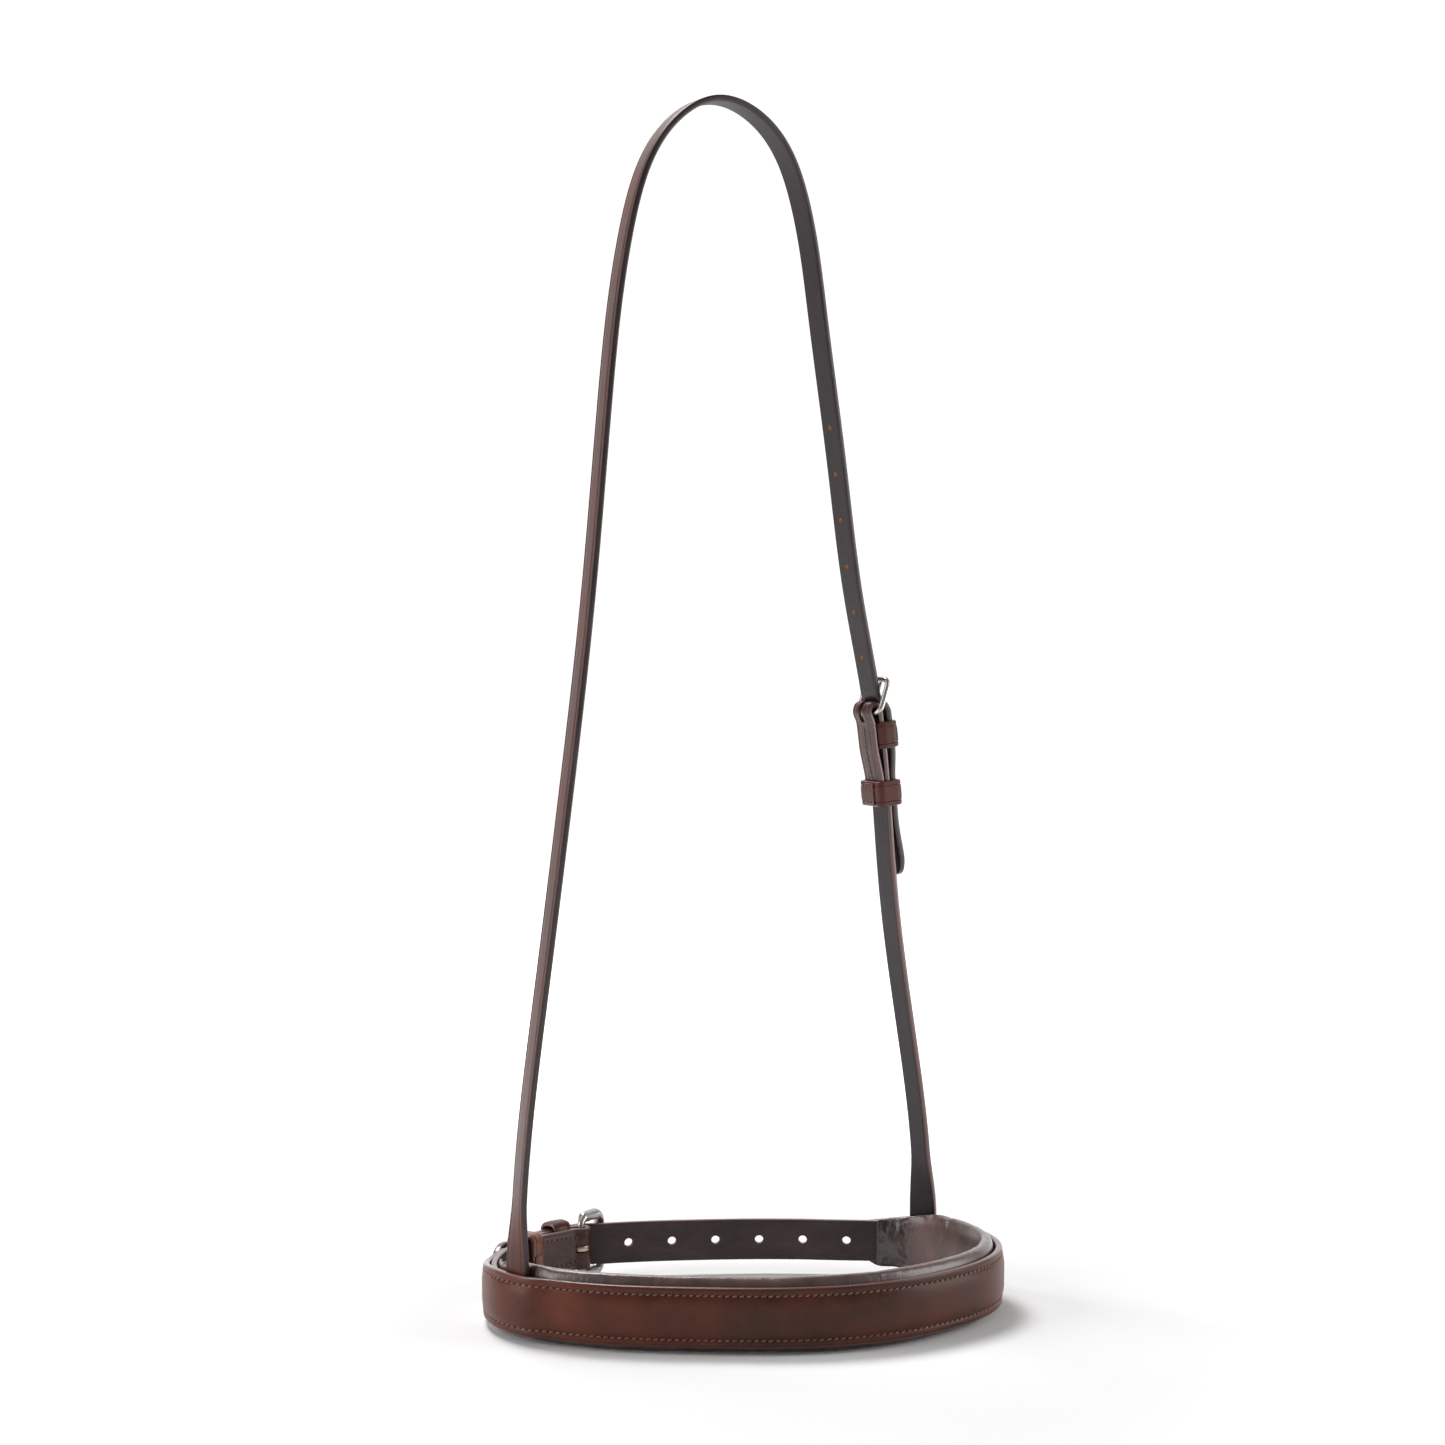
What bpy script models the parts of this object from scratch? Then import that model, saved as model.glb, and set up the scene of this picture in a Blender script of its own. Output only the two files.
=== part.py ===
"""Bridle noseband: a padded leather cavesson hanging by its head strap.

Frame: origin on the inner face of the head strap's crown, +X towards the buckled cheek,
-Y towards the front of the nose, +Z up. Lengths are in metres.
"""
import math
from dataclasses import dataclass, replace

import bmesh
import bpy
import numpy as np
from mathutils import Matrix, Vector

MM = 0.001

# Running gap kept between two pieces that touch
CLEAR = 0.3 * MM
# How far a cutter runs past what it cuts
OVERRUN = 4.0 * MM

# Noseband loop, seen from above: half sizes of the line along which the straps lie
LOOP_HALF_WIDTH = 113.0 * MM
LOOP_HALF_DEPTH = 84.0 * MM
# Height from the middle of the nosepiece up to the inner face of the crown
HANG = 514.0 * MM
# The loop's middle lies this far in front of the crown, and this far towards the buckled cheek
LOOP_FRONT = 6.4 * MM
LOOP_SIDE = 3.2 * MM
# The loop hangs a little turned in its straps
NOSE_TURN = 13.0 * MM

# Nosepiece: the leather's own height, its edge thickness and how far its middle is raised
NOSE_HEIGHT = 25.4 * MM
NOSE_THICK = 3.0 * MM
NOSE_CROWN = 1.0 * MM
NOSE_END_CROWN_SHARE = 0.25
NOSE_EDGE_RADIUS = 1.0 * MM
NOSE_HALF_LENGTH = 216.0 * MM
NOSE_RIGHT_LENGTH = 194.0 * MM
# Its ends narrow to thin tabs; the upper edge falls over a long run, the lower over a short one
NOSE_TAB_HALF = 8.6 * MM
NOSE_TAB_THICK = 2.0 * MM
NOSE_UPPER_FALL = (18.0 * MM, 61.0 * MM)
NOSE_LOWER_FALL = (22.0 * MM, 32.0 * MM)
NOSE_THIN_FALL = (11.0 * MM, 30.0 * MM)
NOSE_TIP_RADIUS = 5.0 * MM
# Skin gap between the leather and the padding where no strap lies between them
NOSE_SKIN = 0.2 * MM
# Extra room where a flat strap end lies against the curved nosepiece, and the run that opens it
ENTRY_ROOM = 0.4 * MM
OPENING_RUN = 13.0 * MM
OPENING_MARGIN = 1.3 * MM

# Padding behind the nosepiece: a leather lining rolled round a soft filler
PAD_HEIGHT = 32.0 * MM
PAD_DEPTH = 8.0 * MM
PAD_END_HEIGHT = 22.0 * MM
PAD_END_DEPTH = 3.6 * MM
PAD_HALF_LENGTH = 186.0 * MM
PAD_TAPER = 38.0 * MM
PAD_ROLL = 3.6 * MM
PAD_ROLL_SHARE = 0.45
PAD_SWELL = 0.8 * MM
PAD_SIDE_SHARES = (0.55, 0.0, -0.55)
LINING_THICK = 1.2 * MM
LINING_LIP = 5.5 * MM
FILLER_SHORT = 9.0 * MM

# Half-inch head strap and the cheek strap that it buckles to
HEAD_WIDTH = 13.0 * MM
HEAD_THICK = 2.8 * MM
CHEEK_THICK = 2.6 * MM
# Distance from the nosepiece's middle to the head strap's sewn end, and to the cheek strap's
HEAD_REACH = 149.3 * MM
CHEEK_REACH = 163.7 * MM
CHEEK_LENGTH = 257.6 * MM
CHEEK_SINK = 8.0 * MM
# Height over which a strap turns from the nosepiece's face to its own run
TWIST_RUN = 32.0 * MM
ARCH_HALF_SPAN = 104.0 * MM
LEFT_LEAN = math.radians(8.0)
CROWN_HALF = 60.0 * MM
HEAD_TAIL = 76.5 * MM
HEAD_HOLE = 2.8 * MM
HEAD_PITCH = 20.9 * MM
HEAD_HOLES_UP = 6
HEAD_HOLES_DOWN = 3

# Three-quarter-inch chin strap and the chape that carries its buckle
CHIN_WIDTH = 19.0 * MM
CHIN_THICK = 3.0 * MM
CHAPE_THICK = 2.6 * MM
# Distance from the nosepiece's tip to the bar of the chin buckle
CHAPE_REACH = 46.7 * MM
# Gap between two strap ends sewn side by side under the nosepiece
STRAP_GAP = 2.0 * MM
CHIN_TAIL = 55.0 * MM
CHIN_HOLE = 4.0 * MM
CHIN_HOLES_UP = 6
CHIN_HOLES_DOWN = 2
CHIN_PITCH = 20.4 * MM

# Strap edges and the rounded end of a punched strap
STRAP_EDGE_RADIUS = 0.7 * MM
EDGE_LIMIT_SHARE = 0.45
CROWN_SHARES = (0.62, 0.25, -0.25, -0.62)
STRAP_TIP = 11.0 * MM
TIP_BLUNT_SHARE = 0.06

# Shares of the tongue's thickness and width: the hole it draws out, its waist and its edges
TONGUE_DRAW_SHARE = 1.5
TONGUE_DRAW_ROOM = 1.0 * MM
TONGUE_DRAW_SLACK = 0.8 * MM
TONGUE_NARROW_SHARE = 0.35
TONGUE_THIN_SHARE = 0.2
TONGUE_EDGE_SHARE = 0.25
TONGUE_SHARES = (0.3, 0.6, 0.85, 1.0)
TONGUE_CURL = math.radians(395.0)

# Shares of a keeper's thickness: the radius of its edges and of its bent corners
KEEPER_EDGE_SHARE = 0.4
KEEPER_CORNER_SHARE = 1.2
RUNNER_CORNER_SHARE = 1.3

# Longest and shortest step between two rings of a strap, and the turn that one step may take
STEP_MAX = 9.0 * MM
STEP_MIN = 1.6 * MM
STEP_TURN = math.radians(9.0)
LEAST_TURN = 1e-6

# Counts of samples and sides
LOOP_SAMPLES = 900
ARCH_SAMPLES = 1600
WIRE_SIDES = 10
FOLD_STEPS = 10
EYE_STEPS = 20
CORNER_STEPS = 4
PAD_ROLL_STEPS = 5
LAYER_STEPS = 12
BILLET_STEPS = 22
CROSSING_STEPS = 60
HOLE_SIDES = 12
TIP_ANGLES = (0, 25, 45, 60, 74, 84, 90)
END_ANGLES = (30, 55, 78)
SHARP_ANGLE = math.radians(35.0)


@dataclass
class Buckle:
    """One buckle with its two keepers and the turned-back strap end that holds it."""

    strap_width: float
    billet_thick: float
    chape_thick: float
    bar_radius: float
    rail_radius: float
    reach: float
    inner_width: float
    corner: float
    tilt: float
    arch: float
    tongue_thick: float
    tongue_width: float
    keeper_thick: float
    keeper_band: float
    keeper_from: float
    keeper_tuck: float
    keeper_side: float
    keeper_top: float
    runner_band: float
    runner_from: float
    runner_play: float
    turn_back: float
    lift_run: float
    billet_lift: float
    billet_tail: float
    tail_stand: float
    tail_from: float
    tail_level: float
    route: object = None
    bar: float = 0.0

    @property
    def bar_height(self):
        """The bar lies inside the fold; the straight layer of the chape is at height zero."""
        return -(self.chape_thick / 2 + CLEAR + self.bar_radius)

    @property
    def fold_radius(self):
        return self.bar_radius + CLEAR + self.chape_thick / 2

    @property
    def billet_height(self):
        return self.chape_thick / 2 + CLEAR + self.billet_thick / 2

    @property
    def tuck_height(self):
        """The keeper's sewn ends lie between the two layers of the chape."""
        return -(self.chape_thick / 2 + CLEAR + self.keeper_thick / 2)

    @property
    def keeper_layer(self):
        return self.tuck_height - self.keeper_thick / 2 - CLEAR - self.chape_thick / 2

    @property
    def end_layer(self):
        return -(self.chape_thick + CLEAR)

    @property
    def eye_radius(self):
        return self.bar_radius + CLEAR + self.tongue_thick / 2

    @property
    def pivot(self):
        return self.route.place(self.bar, self.bar_height, 0)


CHEEK_BUCKLE = Buckle(
    strap_width=HEAD_WIDTH,
    billet_thick=HEAD_THICK,
    chape_thick=CHEEK_THICK,
    bar_radius=1.3 * MM,
    rail_radius=1.3 * MM,
    reach=16.0 * MM,
    inner_width=15.0 * MM,
    corner=3.0 * MM,
    tilt=math.radians(28.0),
    arch=1.2 * MM,
    tongue_thick=1.8 * MM,
    tongue_width=2.4 * MM,
    keeper_thick=1.5 * MM,
    keeper_band=12.0 * MM,
    keeper_from=4.8 * MM,
    keeper_tuck=3.4 * MM,
    keeper_side=CLEAR,
    keeper_top=CLEAR,
    runner_band=11.5 * MM,
    runner_from=31.5 * MM,
    runner_play=0.5 * MM,
    turn_back=39.0 * MM,
    lift_run=13.0 * MM,
    billet_lift=1.4 * MM,
    billet_tail=HEAD_TAIL,
    tail_stand=2.6 * MM,
    tail_from=4.0 * MM,
    tail_level=0.0,
)

CHIN_BUCKLE = Buckle(
    strap_width=CHIN_WIDTH,
    billet_thick=CHIN_THICK,
    chape_thick=CHAPE_THICK,
    bar_radius=1.7 * MM,
    rail_radius=1.8 * MM,
    reach=15.4 * MM,
    inner_width=21.4 * MM,
    corner=3.4 * MM,
    tilt=math.radians(28.0),
    arch=1.4 * MM,
    tongue_thick=2.2 * MM,
    tongue_width=3.0 * MM,
    keeper_thick=1.6 * MM,
    keeper_band=10.0 * MM,
    keeper_from=5.0 * MM,
    keeper_tuck=4.5 * MM,
    keeper_side=1.3 * MM,
    keeper_top=1.0 * MM,
    runner_band=9.0 * MM,
    runner_from=29.5 * MM,
    runner_play=0.8 * MM,
    turn_back=34.0 * MM,
    lift_run=14.0 * MM,
    billet_lift=0.0,
    billet_tail=CHIN_TAIL,
    tail_stand=2.95 * MM,
    tail_from=1.0 * MM,
    tail_level=10.0 * MM,
)

# Loop seen from above, anticlockwise from its front: shares of the half width and half depth
LOOP_SHARES = [
    (0.23, -0.995),
    (0.53, -0.955),
    (0.79, -0.81),
    (0.945, -0.575),
    (0.995, -0.29),
    (0.975, -0.02),
    (0.885, 0.18),
    (0.72, 0.35),
    (0.50, 0.55),
    (0.22, 0.75),
    (-0.08, 0.915),
    (-0.32, 0.98),
    (-0.525, 0.905),
    (-0.70, 0.735),
    (-0.835, 0.53),
    (-0.91, 0.29),
    (-0.90, 0.04),
    (-0.81, -0.18),
    (-0.655, -0.40),
    (-0.41, -0.64),
    (-0.10, -0.88),
]

# Head strap's arch from left to right: shares of the half span, and of the height below the crown
ARCH_SHARES = [
    (-0.962, -0.890),
    (-0.873, -0.750),
    (-0.756, -0.584),
    (-0.651, -0.419),
    (-0.570, -0.254),
    (-0.464, -0.109),
    (-0.275, -0.025),
    (-0.050, 0.000),
    (0.213, -0.022),
    (0.366, -0.080),
    (0.458, -0.178),
    (0.555, -0.305),
    (0.642, -0.420),
    (0.742, -0.517),
    (0.830, -0.685),
    (0.936, -0.822),
    (0.996, -0.905),
]


def smooth_step(value, start, end):
    """Share from 0 at start to 1 at end, level at both."""
    share = min(1.0, max(0.0, (value - start) / (end - start)))
    return share * share * (3.0 - 2.0 * share)


def mix(first, second, share):
    return first + (second - first) * share


def smooth_curve(points, closed, count):
    """Cubic spline through the points, with an even bend at every one of them."""
    knots = np.array([tuple(p) for p in points])
    if closed:
        knots = np.vstack([knots, knots[:1]])
    gaps = np.linalg.norm(np.diff(knots, axis=0), axis=1)
    place = np.concatenate([[0.0], np.cumsum(gaps)])
    size = len(knots)
    matrix = np.zeros((size, size))
    right = np.zeros((size, knots.shape[1]))
    slopes = np.diff(knots, axis=0) / gaps[:, None]
    for i in range(1, size - 1):
        matrix[i, i - 1] = gaps[i - 1]
        matrix[i, i] = 2.0 * (gaps[i - 1] + gaps[i])
        matrix[i, i + 1] = gaps[i]
        right[i] = 6.0 * (slopes[i] - slopes[i - 1])
    if closed:
        matrix[0, 0] = 2.0 * (gaps[-1] + gaps[0])
        matrix[0, 1] = gaps[0]
        matrix[0, -2] = gaps[-1]
        right[0] = 6.0 * (slopes[0] - slopes[-1])
        matrix[-1, 0] = 1.0
        matrix[-1, -1] = -1.0
    else:
        matrix[0, 0] = 1.0
        matrix[-1, -1] = 1.0
    bend = np.linalg.solve(matrix, right)
    line = []
    for at in np.linspace(0.0, place[-1], count):
        i = min(np.searchsorted(place, at, side="right") - 1, size - 2)
        left = (place[i + 1] - at) / gaps[i]
        back = (at - place[i]) / gaps[i]
        cubic = ((left ** 3 - left) * bend[i] + (back ** 3 - back) * bend[i + 1]) * gaps[i] ** 2 / 6.0
        line.append(left * knots[i] + back * knots[i + 1] + cubic)
    return np.array(line)


class Route:
    """A strap's run: s along it, n out of its outer face, w across it."""

    def __init__(self, line, across, closed):
        self.line = line
        self.closed = closed
        self.across = across
        self.reach = np.concatenate([[0.0], np.cumsum(np.linalg.norm(np.diff(line, axis=0), axis=1))])
        self.length = self.reach[-1]
        if closed:
            around = np.vstack([line[-2], line, line[1]])
            self.slope = around[2:] - around[:-2]
        else:
            self.slope = np.gradient(line, axis=0)

    def wrap(self, s):
        return s % self.length if self.closed else min(self.length, max(0.0, s))

    def at(self, table, s):
        return Vector([float(np.interp(self.wrap(s), self.reach, table[:, k])) for k in range(3)])

    def axes(self, s):
        """Place, direction, outward normal and across direction at s."""
        spot = self.at(self.line, s)
        along = self.at(self.slope, s).normalized()
        across = self.across(s, spot)
        across = (across - along * across.dot(along)).normalized()
        return spot, along, along.cross(across), across

    def place(self, s, n, w):
        spot, along, out, across = self.axes(s)
        return spot + out * n + across * w

    def stations(self, start, end):
        """Places from start to end, close together where the run bends."""
        spots = [start]
        while spots[-1] < end:
            here = self.axes(spots[-1])
            near = self.axes(spots[-1] + STEP_MIN)
            turn = max(here[1].angle(near[1]), here[3].angle(near[3]), LEAST_TURN)
            spots.append(spots[-1] + min(STEP_MAX, max(STEP_MIN, STEP_TURN * STEP_MIN / turn)))
        share = (end - start) / (spots[-1] - start)
        return [start + (s - start) * share for s in spots]


def make_loop():
    """The noseband's closed line at the height of its middle; s is zero at the nosepiece's middle."""
    points = [(LOOP_SIDE + x * LOOP_HALF_WIDTH, y * LOOP_HALF_DEPTH - LOOP_FRONT, -HANG)
              for x, y in LOOP_SHARES]
    line = smooth_curve(points, True, LOOP_SAMPLES)
    loop = Route(line, lambda s, spot: Vector((0, 0, 1)), True)
    starts = np.linspace(-NOSE_TURN, loop.length - NOSE_TURN, LOOP_SAMPLES)
    turned = [tuple(loop.at(line, s)) for s in starts]
    return Route(np.array(turned), lambda s, spot: Vector((0, 0, 1)), True)


LOOP = make_loop()


def make_arch():
    """The head strap's line, from its sunk left end over the crown to the sunk right end."""
    left = LOOP.place(-HEAD_REACH, 0, -CHEEK_SINK)
    right = LOOP.place(CHEEK_REACH, 0, -CHEEK_SINK)
    rise = Vector((0, 0, CHEEK_SINK + NOSE_HEIGHT / 2))
    run = Vector((right.x - left.x, right.y - left.y, 0)).normalized()
    middle = (left + right) / 2
    crown = HEAD_THICK / 2

    def arch_point(x_share, z_share):
        x = LOOP_SIDE + x_share * ARCH_HALF_SPAN
        y = middle.y + (x - middle.x) * run.y / run.x
        return Vector((x, y, z_share * HANG + crown))

    points = [left, left + rise]
    points += [arch_point(x, z) for x, z in ARCH_SHARES]
    points += [right + rise, right]
    rear = Vector((-run.y, run.x, 0))
    leaned = Matrix.Rotation(-LEFT_LEAN, 3, "Z") @ rear
    left_face = -LOOP.axes(-HEAD_REACH)[1]
    right_face = LOOP.axes(CHEEK_REACH)[1]
    face_top = left.z + rise.z

    def across(s, spot):
        """The strap lies flat on the nosepiece below, and square to the arch above."""
        upper = mix(leaned, rear, smooth_step(spot.x, -CROWN_HALF, CROWN_HALF))
        face = left_face if spot.x < middle.x else right_face
        share = smooth_step(spot.z, face_top, face_top + TWIST_RUN)
        return mix(face, upper, share).normalized()

    return Route(smooth_curve(points, False, ARCH_SAMPLES), across, False)


ARCH = make_arch()


def cap_ring(bm, ring, folded):
    """Close a ring's opening; a folded ring runs out along a wall and back along its inside."""
    if not folded:
        bm.faces.new(ring)
        return
    last = len(ring) - 1
    for i in range(len(ring) // 2 - 1):
        bm.faces.new((ring[i], ring[i + 1], ring[last - i - 1], ring[last - i]))


def make_mesh(name, rings, closed=False, folded=False):
    """Close a body round its rings, with its two ends capped unless the run is closed."""
    bm = bmesh.new()
    loops = [[bm.verts.new(p) for p in ring] for ring in rings]
    count = len(loops[0])
    pairs = list(zip(loops, loops[1:]))
    if closed:
        pairs.append((loops[-1], loops[0]))
    for first, second in pairs:
        for i in range(count):
            j = (i + 1) % count
            bm.faces.new((first[i], first[j], second[j], second[i]))
    if not closed:
        cap_ring(bm, loops[0], folded)
        cap_ring(bm, loops[-1], folded)
    bmesh.ops.triangulate(bm, faces=[f for f in bm.faces if len(f.verts) > 4])
    bmesh.ops.recalc_face_normals(bm, faces=bm.faces)
    mesh = bpy.data.meshes.new(name)
    bm.to_mesh(mesh)
    bm.free()
    mesh.shade_smooth()
    mesh.set_sharp_from_angle(angle=SHARP_ANGLE)
    return mesh


def add_object(name, mesh, material=None, pivot=None):
    """Object whose origin stands on its pivot, where it has one."""
    obj = bpy.data.objects.new(name, mesh)
    bpy.context.scene.collection.objects.link(obj)
    if material is not None:
        mesh.materials.append(material)
    if pivot is not None:
        mesh.transform(Matrix.Translation(-pivot))
        obj.location = pivot
    return obj


def make_material(name, colour, roughness, metallic):
    material = bpy.data.materials.new(name)
    material.use_nodes = True
    shader = material.node_tree.nodes["Principled BSDF"]
    shader.inputs["Base Color"].default_value = (*colour, 1.0)
    shader.inputs["Roughness"].default_value = roughness
    shader.inputs["Metallic"].default_value = metallic
    material.diffuse_color = (*colour, 1.0)
    return material


def strap_section(width, thick, radius=STRAP_EDGE_RADIUS, crown=0.0):
    """Cross-section of a strap as (height, across) points, with eased edges and a raised face."""
    half = width / 2
    low = -thick / 2
    high = thick / 2
    r = min(radius, thick * EDGE_LIMIT_SHARE, half * EDGE_LIMIT_SHARE)
    points = [(low, -half + r), (low, half - r), (low + r, half), (high - r, half), (high, half - r)]
    if crown > 0:
        for share in CROWN_SHARES:
            points.append((high + crown * (1.0 - share * share), share * (half - r)))
    points += [(high, -half + r), (high - r, -half), (low + r, -half)]
    return points


def strap_rings(route, centre, sections):
    """Rings of a strap whose middle runs through the (s, n) points, one section for each."""
    rings = []
    line = np.array(centre)
    lean = np.gradient(line, axis=0)
    for (s, n), (ds, dn), section in zip(line, lean, sections):
        size = math.hypot(ds, dn)
        rings.append([route.place(s - dn / size * h, n + ds / size * h, w) for h, w in section])
    return rings


def tip_width(distance, width, tip):
    """Width of a strap at this distance from its rounded end."""
    share = 1.0 - min(1.0, max(0.0, distance / tip))
    return width * math.sqrt(max(TIP_BLUNT_SHARE, 1.0 - share * share))


def tip_stations(end, tip):
    """Places that close up towards a rounded end."""
    return [end - tip * (1.0 - math.sin(math.radians(a))) for a in TIP_ANGLES]


def turned_back_line(buckle, far_end):
    """Middle of a strap that folds round the bar: straight layer, fold, then the layer sewn back."""
    bar = buckle.bar
    straight = [(s, 0.0) for s in reversed(buckle.route.stations(bar, far_end))]
    fold = []
    for step in range(1, FOLD_STEPS + 1):
        angle = math.pi / 2 - math.pi * step / FOLD_STEPS
        fold.append((bar - buckle.fold_radius * math.cos(angle),
                     buckle.bar_height + buckle.fold_radius * math.sin(angle)))
    keeper_end = buckle.keeper_from + buckle.keeper_band
    layer = []
    for reach in np.linspace(0.0, buckle.turn_back, LAYER_STEPS)[1:]:
        near = mix(fold[-1][1], buckle.keeper_layer, smooth_step(reach, 0.0, buckle.keeper_from))
        height = mix(near, buckle.end_layer, smooth_step(reach, keeper_end, buckle.turn_back))
        layer.append((bar + reach, height))
    return straight + fold + layer


def billet_height(buckle, s):
    """Height of the punched strap: level, up over the bar, then along the outside of the chape."""
    bar = buckle.bar
    rise = smooth_step(s, bar - buckle.lift_run, bar)
    keeper_end = bar + buckle.keeper_from + buckle.keeper_band
    runner_start = bar + buckle.runner_from
    runner_end = runner_start + buckle.runner_band
    lift = buckle.billet_lift * (1.0 - smooth_step(s, keeper_end, runner_start))
    level = bar + buckle.billet_tail - buckle.tail_level
    stand = buckle.tail_stand * smooth_step(s, runner_end + buckle.tail_from, level)
    return (buckle.billet_height + lift) * rise + stand


def crossing(buckle):
    """Where the middle of the tongue passes through the middle of the punched strap."""
    best = buckle.bar
    gap = math.inf
    for reach in np.linspace(0.0, buckle.lift_run, CROSSING_STEPS):
        start = buckle.bar_height + buckle.eye_radius / math.cos(buckle.tilt)
        tongue = start + reach * math.tan(buckle.tilt)
        miss = abs(tongue - billet_height(buckle, buckle.bar - reach))
        if miss < gap:
            gap = miss
            best = buckle.bar - reach
    return best


def add_cutter(name, mesh):
    cutter = add_object(name, mesh)
    cutter.hide_render = True
    cutter.display_type = "WIRE"
    return cutter


def cut(target, cutter):
    """Cut one solid out of another when the model is evaluated."""
    boolean = target.modifiers.new(cutter.name, "BOOLEAN")
    boolean.operation = "DIFFERENCE"
    boolean.solver = "EXACT"
    boolean.object = cutter


def hole_cutter(name, buckle, spots, radius):
    """Round punches square to the strap's face, joined in one cutter."""
    bm = bmesh.new()
    for s in spots:
        spot, along, out, across = buckle.route.axes(s)
        turn = Matrix((along, across, along.cross(across))).transposed()
        centre = spot + out * billet_height(buckle, s)
        bmesh.ops.create_cone(bm, cap_ends=True, segments=HOLE_SIDES, radius1=radius, radius2=radius,
                              depth=buckle.billet_thick + OVERRUN,
                              matrix=Matrix.Translation(centre) @ turn.to_4x4())
    mesh = bpy.data.meshes.new(name)
    bm.to_mesh(mesh)
    bm.free()
    return add_cutter(name, mesh)


def slot_cutter(name, route, s_range, n_range, half_width, lean=0.0):
    """A slot through a strap, as a block in the strap's own directions; its low end may lean."""
    bm = bmesh.new()
    bmesh.ops.create_cube(bm, size=2.0)
    for vert in bm.verts:
        n = mix(n_range[0], n_range[1], (vert.co.z + 1.0) / 2)
        low = s_range[0] - lean * (n - n_range[0])
        s = mix(low, s_range[1], (vert.co.x + 1.0) / 2)
        vert.co = route.place(s, n, vert.co.y * half_width)
    bmesh.ops.recalc_face_normals(bm, faces=bm.faces)
    mesh = bpy.data.meshes.new(name)
    bm.to_mesh(mesh)
    bm.free()
    return add_cutter(name, mesh)


def rounded_path(low, high, half, radius):
    """Rounded rectangle as ((x, w), outward) pairs, from the high side's first corner round."""
    corners = [(high - radius, half - radius), (high - radius, radius - half),
               (low + radius, radius - half), (low + radius, half - radius)]
    path = []
    for quarter, (x, w) in enumerate(corners):
        for step in range(CORNER_STEPS + 1):
            angle = math.pi / 2 * (1 - quarter - step / CORNER_STEPS)
            out = (math.cos(angle), math.sin(angle))
            path.append(((x + radius * out[0], w + radius * out[1]), out))
    return path


def buckle_frame(name, buckle, material):
    """Wire frame: the bar in the fold, two arched sides and the far rail that the strap passes under."""
    centre = buckle.pivot
    spot, along, out, across = buckle.route.axes(buckle.bar)
    half = buckle.inner_width / 2 + buckle.rail_radius
    chord = -along * math.cos(buckle.tilt) + out * math.sin(buckle.tilt)
    rise = along * math.sin(buckle.tilt) + out * math.cos(buckle.tilt)
    rings = []
    for (x, w), (side_x, side_w) in rounded_path(0.0, buckle.reach, half, buckle.corner):
        turn = math.pi * x / buckle.reach
        slope = math.atan(buckle.arch * math.pi / buckle.reach * math.cos(turn))
        forward = chord * math.cos(slope) + rise * math.sin(slope)
        up = rise * math.cos(slope) - chord * math.sin(slope)
        middle = centre + chord * x + rise * buckle.arch * math.sin(turn) + across * w
        side = (forward * side_x + across * side_w).normalized()
        radius = mix(buckle.bar_radius, buckle.rail_radius, smooth_step(x, 0.0, buckle.corner))
        ring = []
        for step in range(WIRE_SIDES):
            angle = 2.0 * math.pi * step / WIRE_SIDES
            ring.append(middle + side * radius * math.cos(angle) + up * radius * math.sin(angle))
        rings.append(ring)
    return add_object(name, make_mesh(name, rings, closed=True), material, centre)


def buckle_tongue(name, buckle, material):
    """Tongue: an eye curled round the bar and a shank that lies on the far rail."""
    centre = buckle.pivot
    spot, along, out, across = buckle.route.axes(buckle.bar)
    chord = -along * math.cos(buckle.tilt) + out * math.sin(buckle.tilt)
    rise = along * math.sin(buckle.tilt) + out * math.cos(buckle.tilt)
    line = []
    for step in range(EYE_STEPS + 1):
        angle = mix(TONGUE_CURL, math.pi / 2, step / EYE_STEPS)
        line.append((buckle.eye_radius * math.cos(angle), buckle.eye_radius * math.sin(angle)))
    over = buckle.reach + buckle.rail_radius + CLEAR
    lift = buckle.rail_radius + CLEAR + buckle.tongue_thick / 2
    for share in TONGUE_SHARES:
        line.append((over * share, mix(buckle.eye_radius, lift, share)))
    slopes = np.gradient(np.array(line), axis=0)
    rings = []
    for (x, h), (dx, dh) in zip(line, slopes):
        size = math.hypot(dx, dh)
        share = max(0.0, x / over)
        width = buckle.tongue_width * (1.0 - TONGUE_NARROW_SHARE * share)
        thick = buckle.tongue_thick * (1.0 - TONGUE_THIN_SHARE * share)
        ring = []
        for up, side in strap_section(width, thick, buckle.tongue_thick * TONGUE_EDGE_SHARE):
            ring.append(centre + chord * (x - dh / size * up) + rise * (h + dx / size * up) + across * side)
        rings.append(ring)
    return add_object(name, make_mesh(name, rings), material, centre)


def band_rings(buckle, start, length, path):
    """Rings of a keeper's band bent along a path of ((n, w), outward) pairs."""
    rings = []
    thick = buckle.keeper_thick
    for (n, w), (out_n, out_w) in path:
        ring = []
        for h, b in strap_section(length, thick, thick * KEEPER_EDGE_SHARE):
            ring.append(buckle.route.place(start + length / 2 + b, n + out_n * h, w + out_w * h))
        rings.append(ring)
    return rings


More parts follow.
